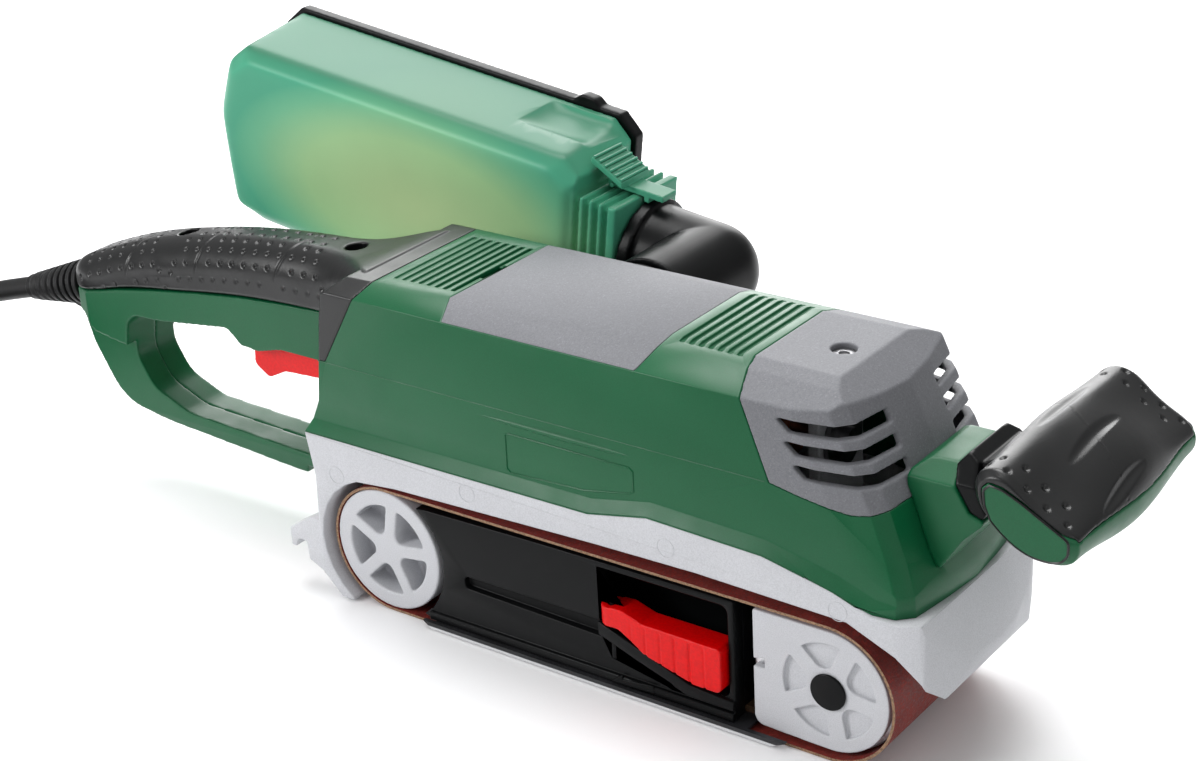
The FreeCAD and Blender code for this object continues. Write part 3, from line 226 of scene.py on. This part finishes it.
def moulded(name, colour, roughness, grain=2600, depth=0.05, variation=0.10, coat=0.0, gloss=0.5):
    """Moulded plastic: a fine spark-eroded grain, faint flow marks and uneven gloss."""
    s = Shader(name, Roughness=roughness, Coat_Weight=coat, Coat_Roughness=0.35, Specular_IOR_Level=gloss)
    flow = s.noise(28, 4)
    fine = s.noise(grain, 2)
    tone = s.ramp(flow, (0.3, shade(colour, 1 - variation)), (0.7, shade(colour, 1 + variation)))
    specks = s.ramp(fine, (0.35, shade(colour, 0.6)), (0.65, shade(colour, 1.5)))
    s.set("Base Color", s.mix(0.18, tone, specks))
    s.set("Roughness", s.grey_ramp(s.noise(90, 3), 0.3, roughness - 0.05, 0.7, roughness + 0.06))
    s.bump(fine, 0.35, depth * MM)
    return s.material


def sparkling(name, colour):
    """Grey moulding with metal flakes that catch the light."""
    s = Shader(name, Roughness=0.5, Metallic=0.05, Specular_IOR_Level=0.14)
    fine = s.noise(3200, 2)
    flakes = s.ramp(s.cells(2400)[1], (0.0, shade(colour, 0.72)), (0.8, shade(colour, 1.08)),
                    (1.0, shade(colour, 1.5)))
    flow = s.ramp(s.noise(30, 4), (0.3, shade(colour, 0.94)), (0.7, shade(colour, 1.06)))
    s.set("Base Color", s.mix(0.55, flow, flakes))
    s.set("Roughness", s.grey_ramp(fine, 0.3, 0.44, 0.7, 0.6))
    s.bump(fine, 0.4, 0.06 * MM)
    return s.material


def metal(name, colour, roughness, stretch=(1, 1, 1)):
    """Steel or aluminium with fine working marks along one direction."""
    s = Shader(name, Metallic=1.0, Roughness=roughness)
    marks = s.noise(900, 4, stretch)
    s.set("Base Color", s.ramp(marks, (0.3, shade(colour, 0.82)), (0.7, shade(colour, 1.1))))
    s.set("Roughness", s.grey_ramp(marks, 0.3, roughness - 0.07, 0.7, roughness + 0.1))
    s.bump(marks, 0.25, 0.03 * MM)
    return s.material


def abrasive(name, colour, edge=None):
    """Bonded grains: dark resin with glinting grit; edge is the colour of the cut cloth."""
    s = Shader(name, Roughness=0.62, Specular_IOR_Level=0.3)
    distance, grain = s.cells(1500)
    grit = s.ramp(grain, (0.0, shade(colour, 0.35)), (0.6, colour), (1.0, shade(colour, 3.2)))
    resin = s.ramp(s.noise(60, 4), (0.3, shade(colour, 0.8)), (0.7, shade(colour, 1.3)))
    tone = s.mix(0.65, grit, resin)
    if edge:
        normal = s.node("NewGeometry").outputs["True Normal"]
        facing = s.node("SeparateXYZ", {"Vector": normal}).outputs["Y"]
        sideways = s.node("Math", {0: facing}, operation="ABSOLUTE").outputs["Value"]
        threads = s.ramp(s.noise(1500, 2), (0.35, shade(edge, 0.45)), (0.6, edge))
        tone = s.mix(s.grey_ramp(sideways, 0.75, 0.0, 0.85, 1.0), tone, threads)
    s.set("Base Color", tone)
    s.set("Roughness", s.grey_ramp(grain, 0.0, 0.35, 1.0, 0.85))
    s.bump(distance, 0.9, 0.12 * MM)
    return s.material


def woven(name, colour, per_metre):
    """Woven cloth of crossing threads."""
    s = Shader(name, Roughness=0.85)
    threads = {"Vector": s.place, "Scale": per_metre, "Distortion": 0.6}
    waves = [s.node("TexWave", threads, bands_direction=axis).outputs["Fac"] for axis in "XY"]
    weave = s.mix(0.5, waves[0], waves[1], "MULTIPLY")
    s.set("Base Color", s.ramp(weave, (0.0, shade(colour, 0.6)), (0.8, shade(colour, 1.15))))
    s.bump(weave, 0.5, 0.1 * MM)
    return s.material


GREEN = rgb(8, 82, 48)
LIGHT_GREY = rgb(186, 187, 191)
MID_GREY = rgb(112, 113, 117)
BLACK = rgb(9, 10, 11)
SOFT_BLACK = rgb(6, 7, 8)
RED = rgb(206, 0, 2)

materials = {
    "green_shell": moulded("green_shell", GREEN, 0.36, variation=0.05, gloss=0.3),
    "grey_trim": sparkling("grey_trim", MID_GREY),
    "light_frame": moulded("light_frame", LIGHT_GREY, 0.46, variation=0.03, gloss=0.3),
    "soft_grip": moulded("soft_grip", SOFT_BLACK, 0.33, grain=1800, depth=0.08, gloss=0.45),
    "black_plastic": moulded("black_plastic", BLACK, 0.33, gloss=0.13),
    "red_plastic": moulded("red_plastic", RED, 0.32, grain=900, depth=0.02, variation=0.04,
                           coat=0.06, gloss=0.2),
    "abrasive": abrasive("abrasive", rgb(112, 40, 34), rgb(150, 118, 92)),
    "steel": metal("steel", (0.30, 0.30, 0.31), 0.34, (0.05, 1, 1)),
    "copper": metal("copper", rgb(200, 120, 80), 0.35),
    "carbon": moulded("carbon", rgb(40, 40, 42), 0.6),
    "graphite": woven("graphite", rgb(52, 53, 56), 900),
    "cork": abrasive("cork", rgb(70, 52, 36)),
    "aluminium_part": metal("aluminium_part", (0.78, 0.78, 0.8), 0.34),
    "rubber_part": moulded("rubber_part", rgb(12, 12, 13), 0.5, grain=1500, gloss=0.3),
    "filter_paper": woven("filter_paper", rgb(214, 208, 150), 700),
    "cord_rubber": moulded("cord_rubber", rgb(14, 14, 15), 0.45, grain=1200, gloss=0.35),
}


def mint_plastic():
    """Frosted box wall: the pale filter glows through its middle, its rim is denser, and faces turned
    upward get a painted shade of dark green.
    """
    s = Shader("mint_box", Roughness=0.36, Specular_IOR_Level=0.22, Alpha=0.94)
    glow_shape = {"Location": (-0.150, 0.07, 0.117), "Rotation": (0, 0.131, 0),
                  "Scale": (0.100, 0.08, 0.046)}
    middle = s.node("Mapping", {"Vector": s.place, **glow_shape}, vector_type="TEXTURE").outputs["Vector"]
    glow = s.node("TexGradient", {"Vector": middle}, gradient_type="SPHERICAL").outputs["Fac"]
    mint = s.ramp(glow, (0.0, rgb(76, 162, 130)), (0.14, rgb(108, 180, 140)), (0.4, rgb(162, 204, 148)),
                  (1.0, rgb(190, 214, 158)))
    cloud = s.ramp(s.noise(24, 3), (0.3, (0.92, 0.92, 0.92)), (0.7, (1.0, 1.0, 1.0)))
    upward = s.node("SeparateXYZ", {"Vector": s.node("NewGeometry").outputs["Normal"]}).outputs["Z"]
    tone = s.mix(1.0, mint, cloud, "MULTIPLY")
    # painted shade: faces turned upward are mixed towards a dark green
    s.set("Base Color", s.mix(s.grey_ramp(upward, 0.35, 0.0, 0.9, 0.75), tone, (*rgb(36, 86, 62), 1)))
    s.bump(s.noise(2200, 2), 0.3, 0.04 * MM)
    return s.material


materials["mint_box"] = mint_plastic()


def steel_with_painted_shade():
    """Steel painted dark as shade above its lowest 1.4 mm, which stays light grey."""
    s = Shader("steel_with_painted_shade", Roughness=0.42, Metallic=0.2)
    upright = s.node("SeparateXYZ", {"Vector": s.place}).outputs["Z"]
    # painted shade: all but the lowest edge takes the dark steel colour, the edge keeps light grey
    lower_edge = s.grey_ramp(upright, 1.4 * MM, 1.0, 1.64 * MM, 0.0)
    painted_shade_steel = s.ramp(s.noise(90, 3), (0.3, rgb(26, 27, 29)), (0.7, rgb(38, 39, 42)))
    s.set("Base Color", s.mix(lower_edge, painted_shade_steel, (*rgb(205, 206, 208), 1)))
    s.bump(s.noise(1400, 2), 0.2, 0.03 * MM)
    return s.material

# ---- mesh kit ---------------------------------------------------------------------------------


def add_object(name, mesh):
    made = bpy.data.objects.new(name, mesh)
    bpy.context.scene.collection.objects.link(made)
    return made


def applied(obj):
    """Bake an object's modifiers into its mesh."""
    graph = bpy.context.evaluated_depsgraph_get()
    mesh = bpy.data.meshes.new_from_object(obj.evaluated_get(graph))
    obj.modifiers.clear()
    obj.data = mesh


def body_of_node(name):
    return nodes[name]["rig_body"]


def slot_of_node(name):
    return {s["node"]: s["material_slot"] for s in frame["record"]["subparts"]}[name]


REAR_RIBS = ((-96.0, 119.0), (-58.0, 133.0))    # corners in X and Z of the slotted part of the roof


def clean_copy(name):
    """The CAD node's mesh with its seams welded and its flat faces joined, but for the slotted roof."""
    mesh = nodes[name].data.copy()
    work = bmesh.new()
    work.from_mesh(mesh)
    bmesh.ops.remove_doubles(work, verts=work.verts, dist=1e-6)
    (x0, z0), (x1, z1) = REAR_RIBS
    slotted = name == "motor_housing_shell"
    verts = [v for v in work.verts
             if not (slotted and x0 * MM < v.co.x < x1 * MM and z0 * MM < v.co.z < z1 * MM)]
    free = set(verts)
    edges = [e for e in work.edges if e.verts[0] in free and e.verts[1] in free]
    bmesh.ops.dissolve_limit(work, angle_limit=math.radians(0.6), verts=verts, edges=edges)
    work.to_mesh(mesh)
    work.free()
    return mesh


def adopt(piece, *names):
    """Give a new piece the body and material of the CAD nodes it takes the place of."""
    piece.data.materials.clear()
    piece.data.materials.append(materials[slot_of_node(names[0])])
    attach(piece, body_of_node(names[0]))
    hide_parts(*names)
    return piece


def smooth_by_angle(obj, degrees=35):
    """Shade smoothly across edges flatter than this."""
    mesh = obj.data
    mesh.polygons.foreach_set("use_smooth", [True] * len(mesh.polygons))
    mesh.set_sharp_from_angle(angle=math.radians(degrees))
    return obj


def bevelled(name, width):
    """A CAD node with every sharp edge rounded."""
    piece = add_object(name + "_moulded", clean_copy(name))
    skin = surface_tree(piece)
    bevel = piece.modifiers.new("bevel", "BEVEL")
    bevel.width = width * MM
    bevel.segments = 2
    bevel.limit_method = "ANGLE"
    bevel.angle_limit = math.radians(32)
    bevel.use_clamp_overlap = False
    bevel.miter_outer = "MITER_ARC"
    applied(piece)
    for vertex in piece.data.vertices:          # corners thrown out by slivers go back onto the surface
        place, _, _, distance = skin.find_nearest(vertex.co)
        if distance > 0.75 * width * MM:
            vertex.co = place
    smooth_by_angle(piece)
    return adopt(piece, name)


def remeshed(name, voxel, rounds):
    """A CAD node rebuilt on a fine grid and relaxed, so that every edge is softly rounded."""
    piece = add_object(name + "_moulded", clean_copy(name))
    grid = piece.modifiers.new("grid", "REMESH")
    grid.mode = "VOXEL"
    grid.voxel_size = voxel * MM
    relax = piece.modifiers.new("relax", "SMOOTH")
    relax.factor = 0.5
    relax.iterations = rounds
    applied(piece)
    smooth_by_angle(piece, 60)
    return adopt(piece, name)


def vertex_array(obj):
    flat = np.empty(len(obj.data.vertices) * 3)
    obj.data.vertices.foreach_get("co", flat)
    return flat.reshape(-1, 3)


def surface_tree(obj):
    work = bmesh.new()
    work.from_mesh(obj.data)
    tree = BVHTree.FromBMesh(work)
    work.free()
    return tree


def carve(obj, marks):
    """Press round marks into a mesh; a mark is (centre, radius, depth) with the last two in mm."""
    mesh = obj.data
    near = KDTree(len(mesh.vertices))
    for vertex in mesh.vertices:
        near.insert(vertex.co, vertex.index)
    near.balance()
    depths = {}
    for centre, radius, depth in marks:
        for _, index, distance in near.find_range(centre, radius * MM):
            amount = depth * MM * (1 - (distance / (radius * MM)) ** 2) ** 2
            if abs(amount) > abs(depths.get(index, 0.0)):
                depths[index] = amount
    normals = {index: mesh.vertices[index].normal.copy() for index in depths}
    for index, amount in depths.items():
        mesh.vertices[index].co -= normals[index] * amount
    mesh.update()


def onto(tree, point):
    """The nearest point of a surface to a point in millimetres."""
    return tree.find_nearest(Vector(point) * MM)[0]


def around(tree, x, z_axis, turn):
    """Where a line from outside meets the grip at x; turn is measured from the top, in degrees."""
    out = Vector((0, math.sin(math.radians(turn)), math.cos(math.radians(turn))))
    centre = Vector((x, 0, z_axis)) * MM
    hit = tree.ray_cast(centre + out * 0.08, -out)
    return hit[0]


def bead(name, paths, radius, like, closed=False, turn=None):
    """Thin raised lines; like is the CAD node they belong to, turn moves them to their place."""
    made = bmesh.new()
    for path in paths:
        data = bpy.data.curves.new(name, "CURVE")
        data.dimensions = "3D"
        data.bevel_depth = radius * MM
        data.bevel_resolution = 1
        data.use_fill_caps = True
        spline = data.splines.new("POLY")
        spline.points.add(len(path) - 1)
        for point, place in zip(spline.points, path):
            point.co = (*(c * MM for c in place), 1)
        spline.use_cyclic_u = closed
        helper = bpy.data.objects.new(name, data)
        bpy.context.scene.collection.objects.link(helper)
        graph = bpy.context.evaluated_depsgraph_get()
        made.from_mesh(bpy.data.meshes.new_from_object(helper.evaluated_get(graph)))
        bpy.data.objects.remove(helper)
        bpy.data.curves.remove(data)
    mesh = bpy.data.meshes.new(name)
    made.to_mesh(mesh)
    made.free()
    if turn is not None:
        mesh.transform(turn)
    return dressed(add_object(name, mesh), like)


def dressed(piece, like):
    """Give an added detail the body and material of the CAD node it sits on."""
    piece.data.materials.clear()
    piece.data.materials.append(materials[slot_of_node(like)])
    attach(piece, body_of_node(like))
    return smooth_by_angle(piece, 40)


def thinned(obj, keep):
    """Fewer faces where the surface is calm; keep is the share that stays."""
    fewer = obj.modifiers.new("fewer", "DECIMATE")
    fewer.ratio = keep
    applied(obj)
    smooth_by_angle(obj, 60)


# ---- plain pieces and mouldings ---------------------------------------------------------------
for name, node in nodes.items():
    node.data.materials.clear()
    node.data.materials.append(materials[slot_of_node(name)])
# the sole plate gets steel with painted shade above its light lowest edge
nodes["sole_plate"].data.materials[0] = steel_with_painted_shade()

# Grid size, relaxing rounds and share of faces kept for each soft moulding.
SOFT_EDGED = {
    "dust_elbow": (0.6, 8, 0.3), "cord_guard": (0.4, 3, 0.5), "trigger": (0.4, 8, 0.4),
    "speed_dial": (0.25, 1, 0.6), "rear_drum": (0.45, 3, 0.4), "tracking_knob": (0.35, 3, 0.5),
    "yoke_cover": (0.3, 3, 0.4), "handle_shell_right": (0.55, 5, 0.35),
    "handle_shell_left": (0.55, 5, 0.35), "tension_lever": (0.35, 3, 0.5),
    "handle_neck": (0.4, 14, 0.4), "handle_bracket": (0.45, 12, 0.4),
    "dust_box_lid": (0.55, 10, 0.35), "box_clip": (0.3, 2, 0.5), "plug": (0.5, 3, 0.4),
    "nose_vent_cover": (0.42, 14, 0.4),
}
# Edge radius for each crisp moulding.
CRISP_EDGED = {
    "motor_housing_shell": 0.35, "top_band": 0.5, "lower_frame": 0.6, "side_guard": 0.35,
    "drive_cover": 0.8, "axle_cap": 0.4, "dust_outlet": 0.5, "screws": 0.2, "lock_button": 0.4,
    "front_roller": 0.5, "belt_chassis": 0.4, "tension_yoke": 0.4,
}
pieces = {}
for name, (voxel, rounds, keep) in SOFT_EDGED.items():
    pieces[name] = remeshed(name, voxel, rounds)
    thinned(pieces[name], keep)
for name, width in CRISP_EDGED.items():
    pieces[name] = bevelled(name, width)


# ---- rear grip: dimples and finger lines ------------------------------------------------------
GRIP_SCREWS = (-218.0, -129.4)
GRIP_CORE = 13.0                        # depth of the grip's middle line below its top
DIMPLE_ROWS = (14, 33, 52, 72, 96)      # degrees from the top to each side
DIMPLE_PITCH = 6.3
DIMPLES_FROM = -269
DIMPLES_IN_ROW = 22
# Foot of each finger line and how far its top leans forward.
FINGER_LINES = ((-241.0, 3.5), (-201.0, 4.5), (-158.5, 8.0))
FINGER_FROM, FINGER_STEP, FINGER_POINTS = 8, 1.35, 60       # degrees from the top down a line


def onto_top(tree, x):
    """Height of the top of a piece at x on the middle plane, in millimetres."""
    return tree.ray_cast(Vector((x, 0.001, 200)) * MM, Vector((0, 0, -1)))[0].z / MM


def shape_grip():
    """Press rows of dimples and three finger lines into each side of the rear grip."""
    grip = remeshed("grip_cover", 0.42, 5)
    tree = surface_tree(grip)
    marks = []
    for row, turn in enumerate(DIMPLE_ROWS):
        for side in (-1, 1):
            for i in range(DIMPLES_IN_ROW):
                x = DIMPLES_FROM + (i + (row % 3) / 3) * DIMPLE_PITCH
                lean = [start + tip * (90 - turn) / 90 for start, tip in FINGER_LINES]
                clear_of_lines = min(abs(x - line) for line in lean) > 2.0
                clear_of_screws = turn > 40 or min(abs(x - screw) for screw in GRIP_SCREWS) > 7.5
                hit = around(tree, x, onto_top(tree, x) - GRIP_CORE, side * turn)
                if hit is not None and clear_of_lines and clear_of_screws:
                    marks.append((hit, 1.5, 0.8 if turn < 90 else 0.45))
    for start, tip in FINGER_LINES:
        for side in (-1, 1):
            for step in range(FINGER_POINTS):
                turn = FINGER_FROM + step * FINGER_STEP
                x = start + tip * (90 - turn) / 90
                hit = around(tree, x, onto_top(tree, x) - GRIP_CORE, side * turn)
                if hit is not None:
                    fade = math.sin(math.pi * min(1.0, (step + 4) / 63)) ** 0.4
                    marks.append((hit, 0.8, 0.5 * fade))
    carve(grip, marks)
    thinned(grip, 0.45)
    return grip


pieces["grip_cover"] = shape_grip()


# ---- front knob: dimples at both ends and pinch lines on top ------------------------------------
# Dimples near one end of the knob; the other end mirrors them.
KNOB_DIMPLES = ((149.5, 38, 122.4), (152.8, 34, 123.3), (157, 40, 122.4), (159.8, 34, 121.7),
                (163.8, 40, 119.1), (166.9, 34, 118.1), (170.4, 40, 115.1), (173.5, 34, 113.9),
                (176.2, 40, 109.9))
# Middle of each pinch line on the knob, half its length and how far it leans.
PINCH_LINES = ((153.5, 3.5, 16.5), (167.5, -3.5, 17.0), (181.0, -11.0, 14.0))


SEAM_FROM, SEAM_STEP, SEAM_POINTS = 147, 0.62, 60       # the faint line over the knob, in X
SEAM_MIDDLE, SEAM_LEAN = 160, -0.55                     # where it is at Y 0, and its slope in Y


def shape_knob():
    """Press dimples, pinch lines and a faint line into the front knob's soft cover."""
    grip = remeshed("knob_grip", 0.45, 10)
    base = remeshed("knob_base", 0.5, 8)
    tree = surface_tree(grip)
    marks = [(onto(tree, (x, side * y, z)), 1.7, 0.9) for x, y, z in KNOB_DIMPLES for side in (-1, 1)]
    for x, y, half in PINCH_LINES:
        for step in range(-20, 21):
            share = step / 20
            width = 0.5 + 2.4 * math.sqrt(max(0.0, 1 - share * share))
            place = tree.ray_cast(Vector((x, y + share * half, 200)) * MM, Vector((0, 0, -1)))[0]
            if place is not None:
                marks.append((place, width, 1.1 * (1 - share * share) ** 0.8))
    carve(grip, marks)
    line = []
    for step in range(SEAM_POINTS):
        x = SEAM_FROM + step * SEAM_STEP
        place = tree.ray_cast(Vector((x, (x - SEAM_MIDDLE) * SEAM_LEAN, 200)) * MM, Vector((0, 0, -1)))[0]
        if place is not None:
            line.append((place, 0.55, 0.25))
    carve(grip, line)
    thinned(grip, 0.4)
    thinned(base, 0.35)
    return grip, base


pieces["knob_grip"], pieces["knob_base"] = shape_knob()


def knob_end_seams():
    """Soft black line round the panel at each end of the knob."""
    tree = surface_tree(pieces["knob_base"])
    at = vertex_array(pieces["knob_base"]) / MM
    paths = []
    for side in (-1, 1):
        reach = (at[:, 1] * side).max()
        panel = [Vector((x, z)) for x, y, z in at if y * side > reach - 1.0]
        outline = [panel[i] for i in convex_hull_2d(panel)]
        middle = sum(outline, Vector((0, 0))) / len(outline)
        path = []
        for corner in outline:
            x, z = middle + (corner - middle) * 0.95
            place = tree.ray_cast(Vector((x, side * 200, z)) * MM, Vector((0, -side, 0)))[0]
            if place is not None and (not path or (place / MM - Vector(path[-1])).length > 0.8):
                path.append(tuple(place / MM))
        paths.append(path)
    return bead("knob_end_seams", paths, 0.42, "knob_grip", closed=True)


pieces["knob_end_seams"] = knob_end_seams()


# ---- dust box: soft shoulders, crisp neck -------------------------------------------------------
OUTLET = Vector((-27.0, 80.0, 107.0))
BOX_TILT = math.radians(7.5)
TILTED = (Matrix.Translation(OUTLET * MM) @ Matrix.Rotation(BOX_TILT, 4, "Y")
          @ Matrix.Translation(-OUTLET * MM))     # from the box's level drawing to its place
NECK_X = -77.0
RIM_Y = 101.5
BLEND = 4.0             # from crisp to fully relaxed
BULGE = 4.0             # how far the end wall bulges, and over which length
BULGE_DEPTH = 26.0
SCOOP_AT = Vector((-100.0, 88.0, 143.0))
SCOOP_REACH = (17.0, 12.0, 12.0)
SCOOP_DEPTH = 3.0
SCOOP_WAY = Vector((0, 0.45, -0.9))


def shape_dust_box():
    """Relax the shoulders, round the end and press the thumb scoop into the upper front corner."""
    shell = add_object("dust_box_shell_moulded", clean_copy("dust_box_shell"))
    grid = shell.modifiers.new("grid", "REMESH")
    grid.mode = "VOXEL"
    grid.voxel_size = 0.6 * MM
    applied(shell)
    level = TILTED.inverted()
    soft = shell.vertex_groups.new(name="soft")
    at = vertex_array(shell)
    turned_back = np.array(level.to_3x3())
    flat = at @ turned_back.T + np.array(level.translation)
    # the neck keeps its crisp ribs, the box is relaxed more the further it is from neck and rim
    weight = np.clip((NECK_X * MM - flat[:, 0]) / (BLEND * MM), 0.03, 1.0)
    weight *= np.clip((RIM_Y * MM - flat[:, 1]) / (BLEND * MM), 0.05, 1.0)
    for level_of_weight in range(1, 11):
        chosen = np.where(np.ceil(weight * 10) == level_of_weight)[0]
        if len(chosen):
            soft.add([int(i) for i in chosen], level_of_weight / 10, "REPLACE")
    relax = shell.modifiers.new("relax", "SMOOTH")
    relax.factor = 0.5
    relax.iterations = 110
    relax.vertex_group = "soft"
    applied(shell)
    # the end wall bulges a little between its rounded corners
    at = vertex_array(shell) @ turned_back.T + np.array(level.translation)
    low, high = at.min(axis=0), at.max(axis=0)
    middle, half = (low + high) / 2, (high - low) / 2
    near_end = np.clip((low[0] + BULGE_DEPTH * MM - at[:, 0]) / (BULGE_DEPTH * MM), 0, 1)
    rise = BULGE * MM * near_end * np.clip(1 - ((at[:, 2] - middle[2]) / half[2]) ** 2, 0, 1)
    outward = np.array(TILTED.to_3x3() @ Vector((-1, 0, 0)))
    for vertex, step in zip(shell.data.vertices, rise):
        vertex.co += Vector(outward * float(step))
    for vertex in shell.data.vertices:
        place = level @ vertex.co / MM - SCOOP_AT
        if place.z < -SCOOP_REACH[2]:
            continue
        across = max(0.0, 1 - (place.x / SCOOP_REACH[0]) ** 4)
        along = max(0.0, 1 - (place.y / SCOOP_REACH[1]) ** 4)
        vertex.co += SCOOP_WAY * (SCOOP_DEPTH * MM * across * along)
    shell.vertex_groups.clear()
    smooth_by_angle(shell, 60)
    adopt(shell, "dust_box_shell")
    thinned(shell, 0.3)
    return shell


pieces["dust_box_shell"] = shape_dust_box()


# The clip's first ridge, both ends of a ridge in Y, the step between ridges and their fall.
RIDGE_X, RIDGE_Z = -76.2, 141.0
RIDGE_Y = (71.4, 88.6)
RIDGE_PITCH = 2.5
RIDGE_FALL = 6.5 / 14


def clip_ridges():
    """Six ridges across the clip's thumb pad."""
    paths = []
    for i in range(6):
        x = RIDGE_X + i * RIDGE_PITCH
        z = RIDGE_Z - i * RIDGE_PITCH * RIDGE_FALL
        paths.append([(x, y, z) for y in RIDGE_Y])
    return bead("clip_ridges", paths, 0.55, "box_clip", turn=TILTED)


pieces["clip_ridges"] = clip_ridges()


# ---- fine lines of the housing ------------------------------------------------------------------
HALF_W = 38.0


def lens(name, x0, x1, z, height, proud, side, like):
    """A long slim raised leaf on the side wall."""
    mesh = bpy.data.meshes.new(name)
    made = bmesh.new()
    rows = []
    steps, across = 32, 6
    for i in range(steps + 1):
        share = i / steps
        x = x0 + (x1 - x0) * share
        half = height / 2 * math.sin(math.pi * share ** 1.4) ** 0.8
        row = []
        for j in range(across + 1):
            t = j / across * 2 - 1
            bulge = proud * (1 - t * t) * math.sin(math.pi * share ** 1.4)
            row.append(made.verts.new(Vector((x, side * (HALF_W - 0.12 + bulge), z + half * t)) * MM))
        rows.append(row)
    for a, b in zip(rows, rows[1:]):
        for j in range(across):
            made.faces.new((a[j], a[j + 1], b[j + 1], b[j]))
        made.faces.new((a[0], b[0], b[across], a[across]))
    made.normal_update()
    bmesh.ops.remove_doubles(made, verts=made.verts, dist=1e-7)
    bmesh.ops.recalc_face_normals(made, faces=made.faces)
    made.to_mesh(mesh)
    made.free()
    return dressed(add_object(name, mesh), like)


BADGE = ((-33.0, 87.6), (-31.6, 88.2), (19.0, 88.2), (20.4, 87.0), (20.4, 79.6), (19.0, 78.6), (0.0, 74.8),
         (-31.8, 73.4), (-33.2, 74.8))
CREASE = ((-118, 96.4), (60, 96.8), (72, 96.8))
pieces["badge_edge"] = bead("badge_edge", [[(x, -HALF_W - 0.02, z) for x, z in BADGE]], 0.32,
                            "motor_housing_shell", closed=True)
pieces["wall_creases"] = bead("wall_creases",
                              [[(x, side * HALF_W, z) for x, z in CREASE] for side in (-1, 1)],
                              0.16, "motor_housing_shell")
pieces["wall_leaf"] = lens("wall_leaf", -54, 22, 92.4, 2.6, 0.9, -1, "motor_housing_shell")


def rings(name, places, radius, like):
    """Faint round ejector marks on flat walls; a place is (x, y, z) on a wall facing sideways."""
    paths = [[(x + radius * math.cos(a), y, z + radius * math.sin(a))
              for a in (math.radians(15 * i) for i in range(24))] for x, y, z in places]
    return bead(name, paths, 0.13, like, closed=True)


FRAME_SIDE = 41.0
FRAME_MARKS = ((-112.0, 52.8), (-50.0, 61.8), (34.5, 63.8), (100.0, 59.5))
pieces["frame_marks"] = rings("frame_marks",
                              [(x, side * FRAME_SIDE, z) for side in (-1, 1) for x, z in FRAME_MARKS],
                              3.4, "lower_frame")

# ---- cord dressing ------------------------------------------------------------------------------
mains_cord.data.materials.append(materials["cord_rubber"])
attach(mains_cord, "body")
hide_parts("cord", "cord_coil")

# ---- floor and light --------------------------------------------------------------------------


def stage_and_light():
    bpy.ops.mesh.primitive_plane_add(size=30, location=(0, 0, -0.0002))
    floor = bpy.context.object
    floor.name = "floor"
    s = Shader("floor", Roughness=0.7)
    s.set("Base Color", s.ramp(s.noise(3, 2), (0.3, (0.86, 0.86, 0.87)), (0.7, (0.89, 0.89, 0.90))))
    floor.data.materials.append(s.material)
    world = bpy.data.worlds.new("studio")
    bpy.context.scene.world = world
    world.use_nodes = True
    tree = world.node_tree
    height = tree.nodes.new("ShaderNodeSeparateXYZ")
    tree.links.new(tree.nodes.new("ShaderNodeTexCoord").outputs["Generated"], height.inputs["Vector"])
    glow = tree.nodes.new("ShaderNodeMapRange")
    tree.links.new(height.outputs["Z"], glow.inputs["Value"])
    for socket, value in (("From Min", 0.0), ("From Max", 0.8), ("To Min", 0.22), ("To Max", 0.72)):
        glow.inputs[socket].default_value = value
    tree.links.new(glow.outputs["Result"], tree.nodes["Background"].inputs["Strength"])
    tree.nodes["Background"].inputs["Color"].default_value = (1, 1, 1, 1)
    for name, place, size, power, aim in (
            ("overhead", (-0.3, 0.25, 1.4), 0.8, 17, (0, 0, 0.05)),
            ("behind", (-0.75, 1.15, 0.62), 1.1, 17, (-0.1, 0, 0.1)),
            ("front_left", (-0.95, -1.15, 0.8), 0.6, 14, (0, 0, 0.05)),
            ("nose_side", (1.3, -0.25, 0.6), 0.6, 1, (0.1, 0, 0.08))):
        data = bpy.data.lights.new(name, "AREA")
        data.energy = power
        data.size = size
        light = bpy.data.objects.new(name, data)
        bpy.context.scene.collection.objects.link(light)
        light.location = place
        light.rotation_euler = (Vector(place) - Vector(aim)).to_track_quat("Z", "Y").to_euler()


stage_and_light()
bpy.context.scene.view_settings.view_transform = "Standard"
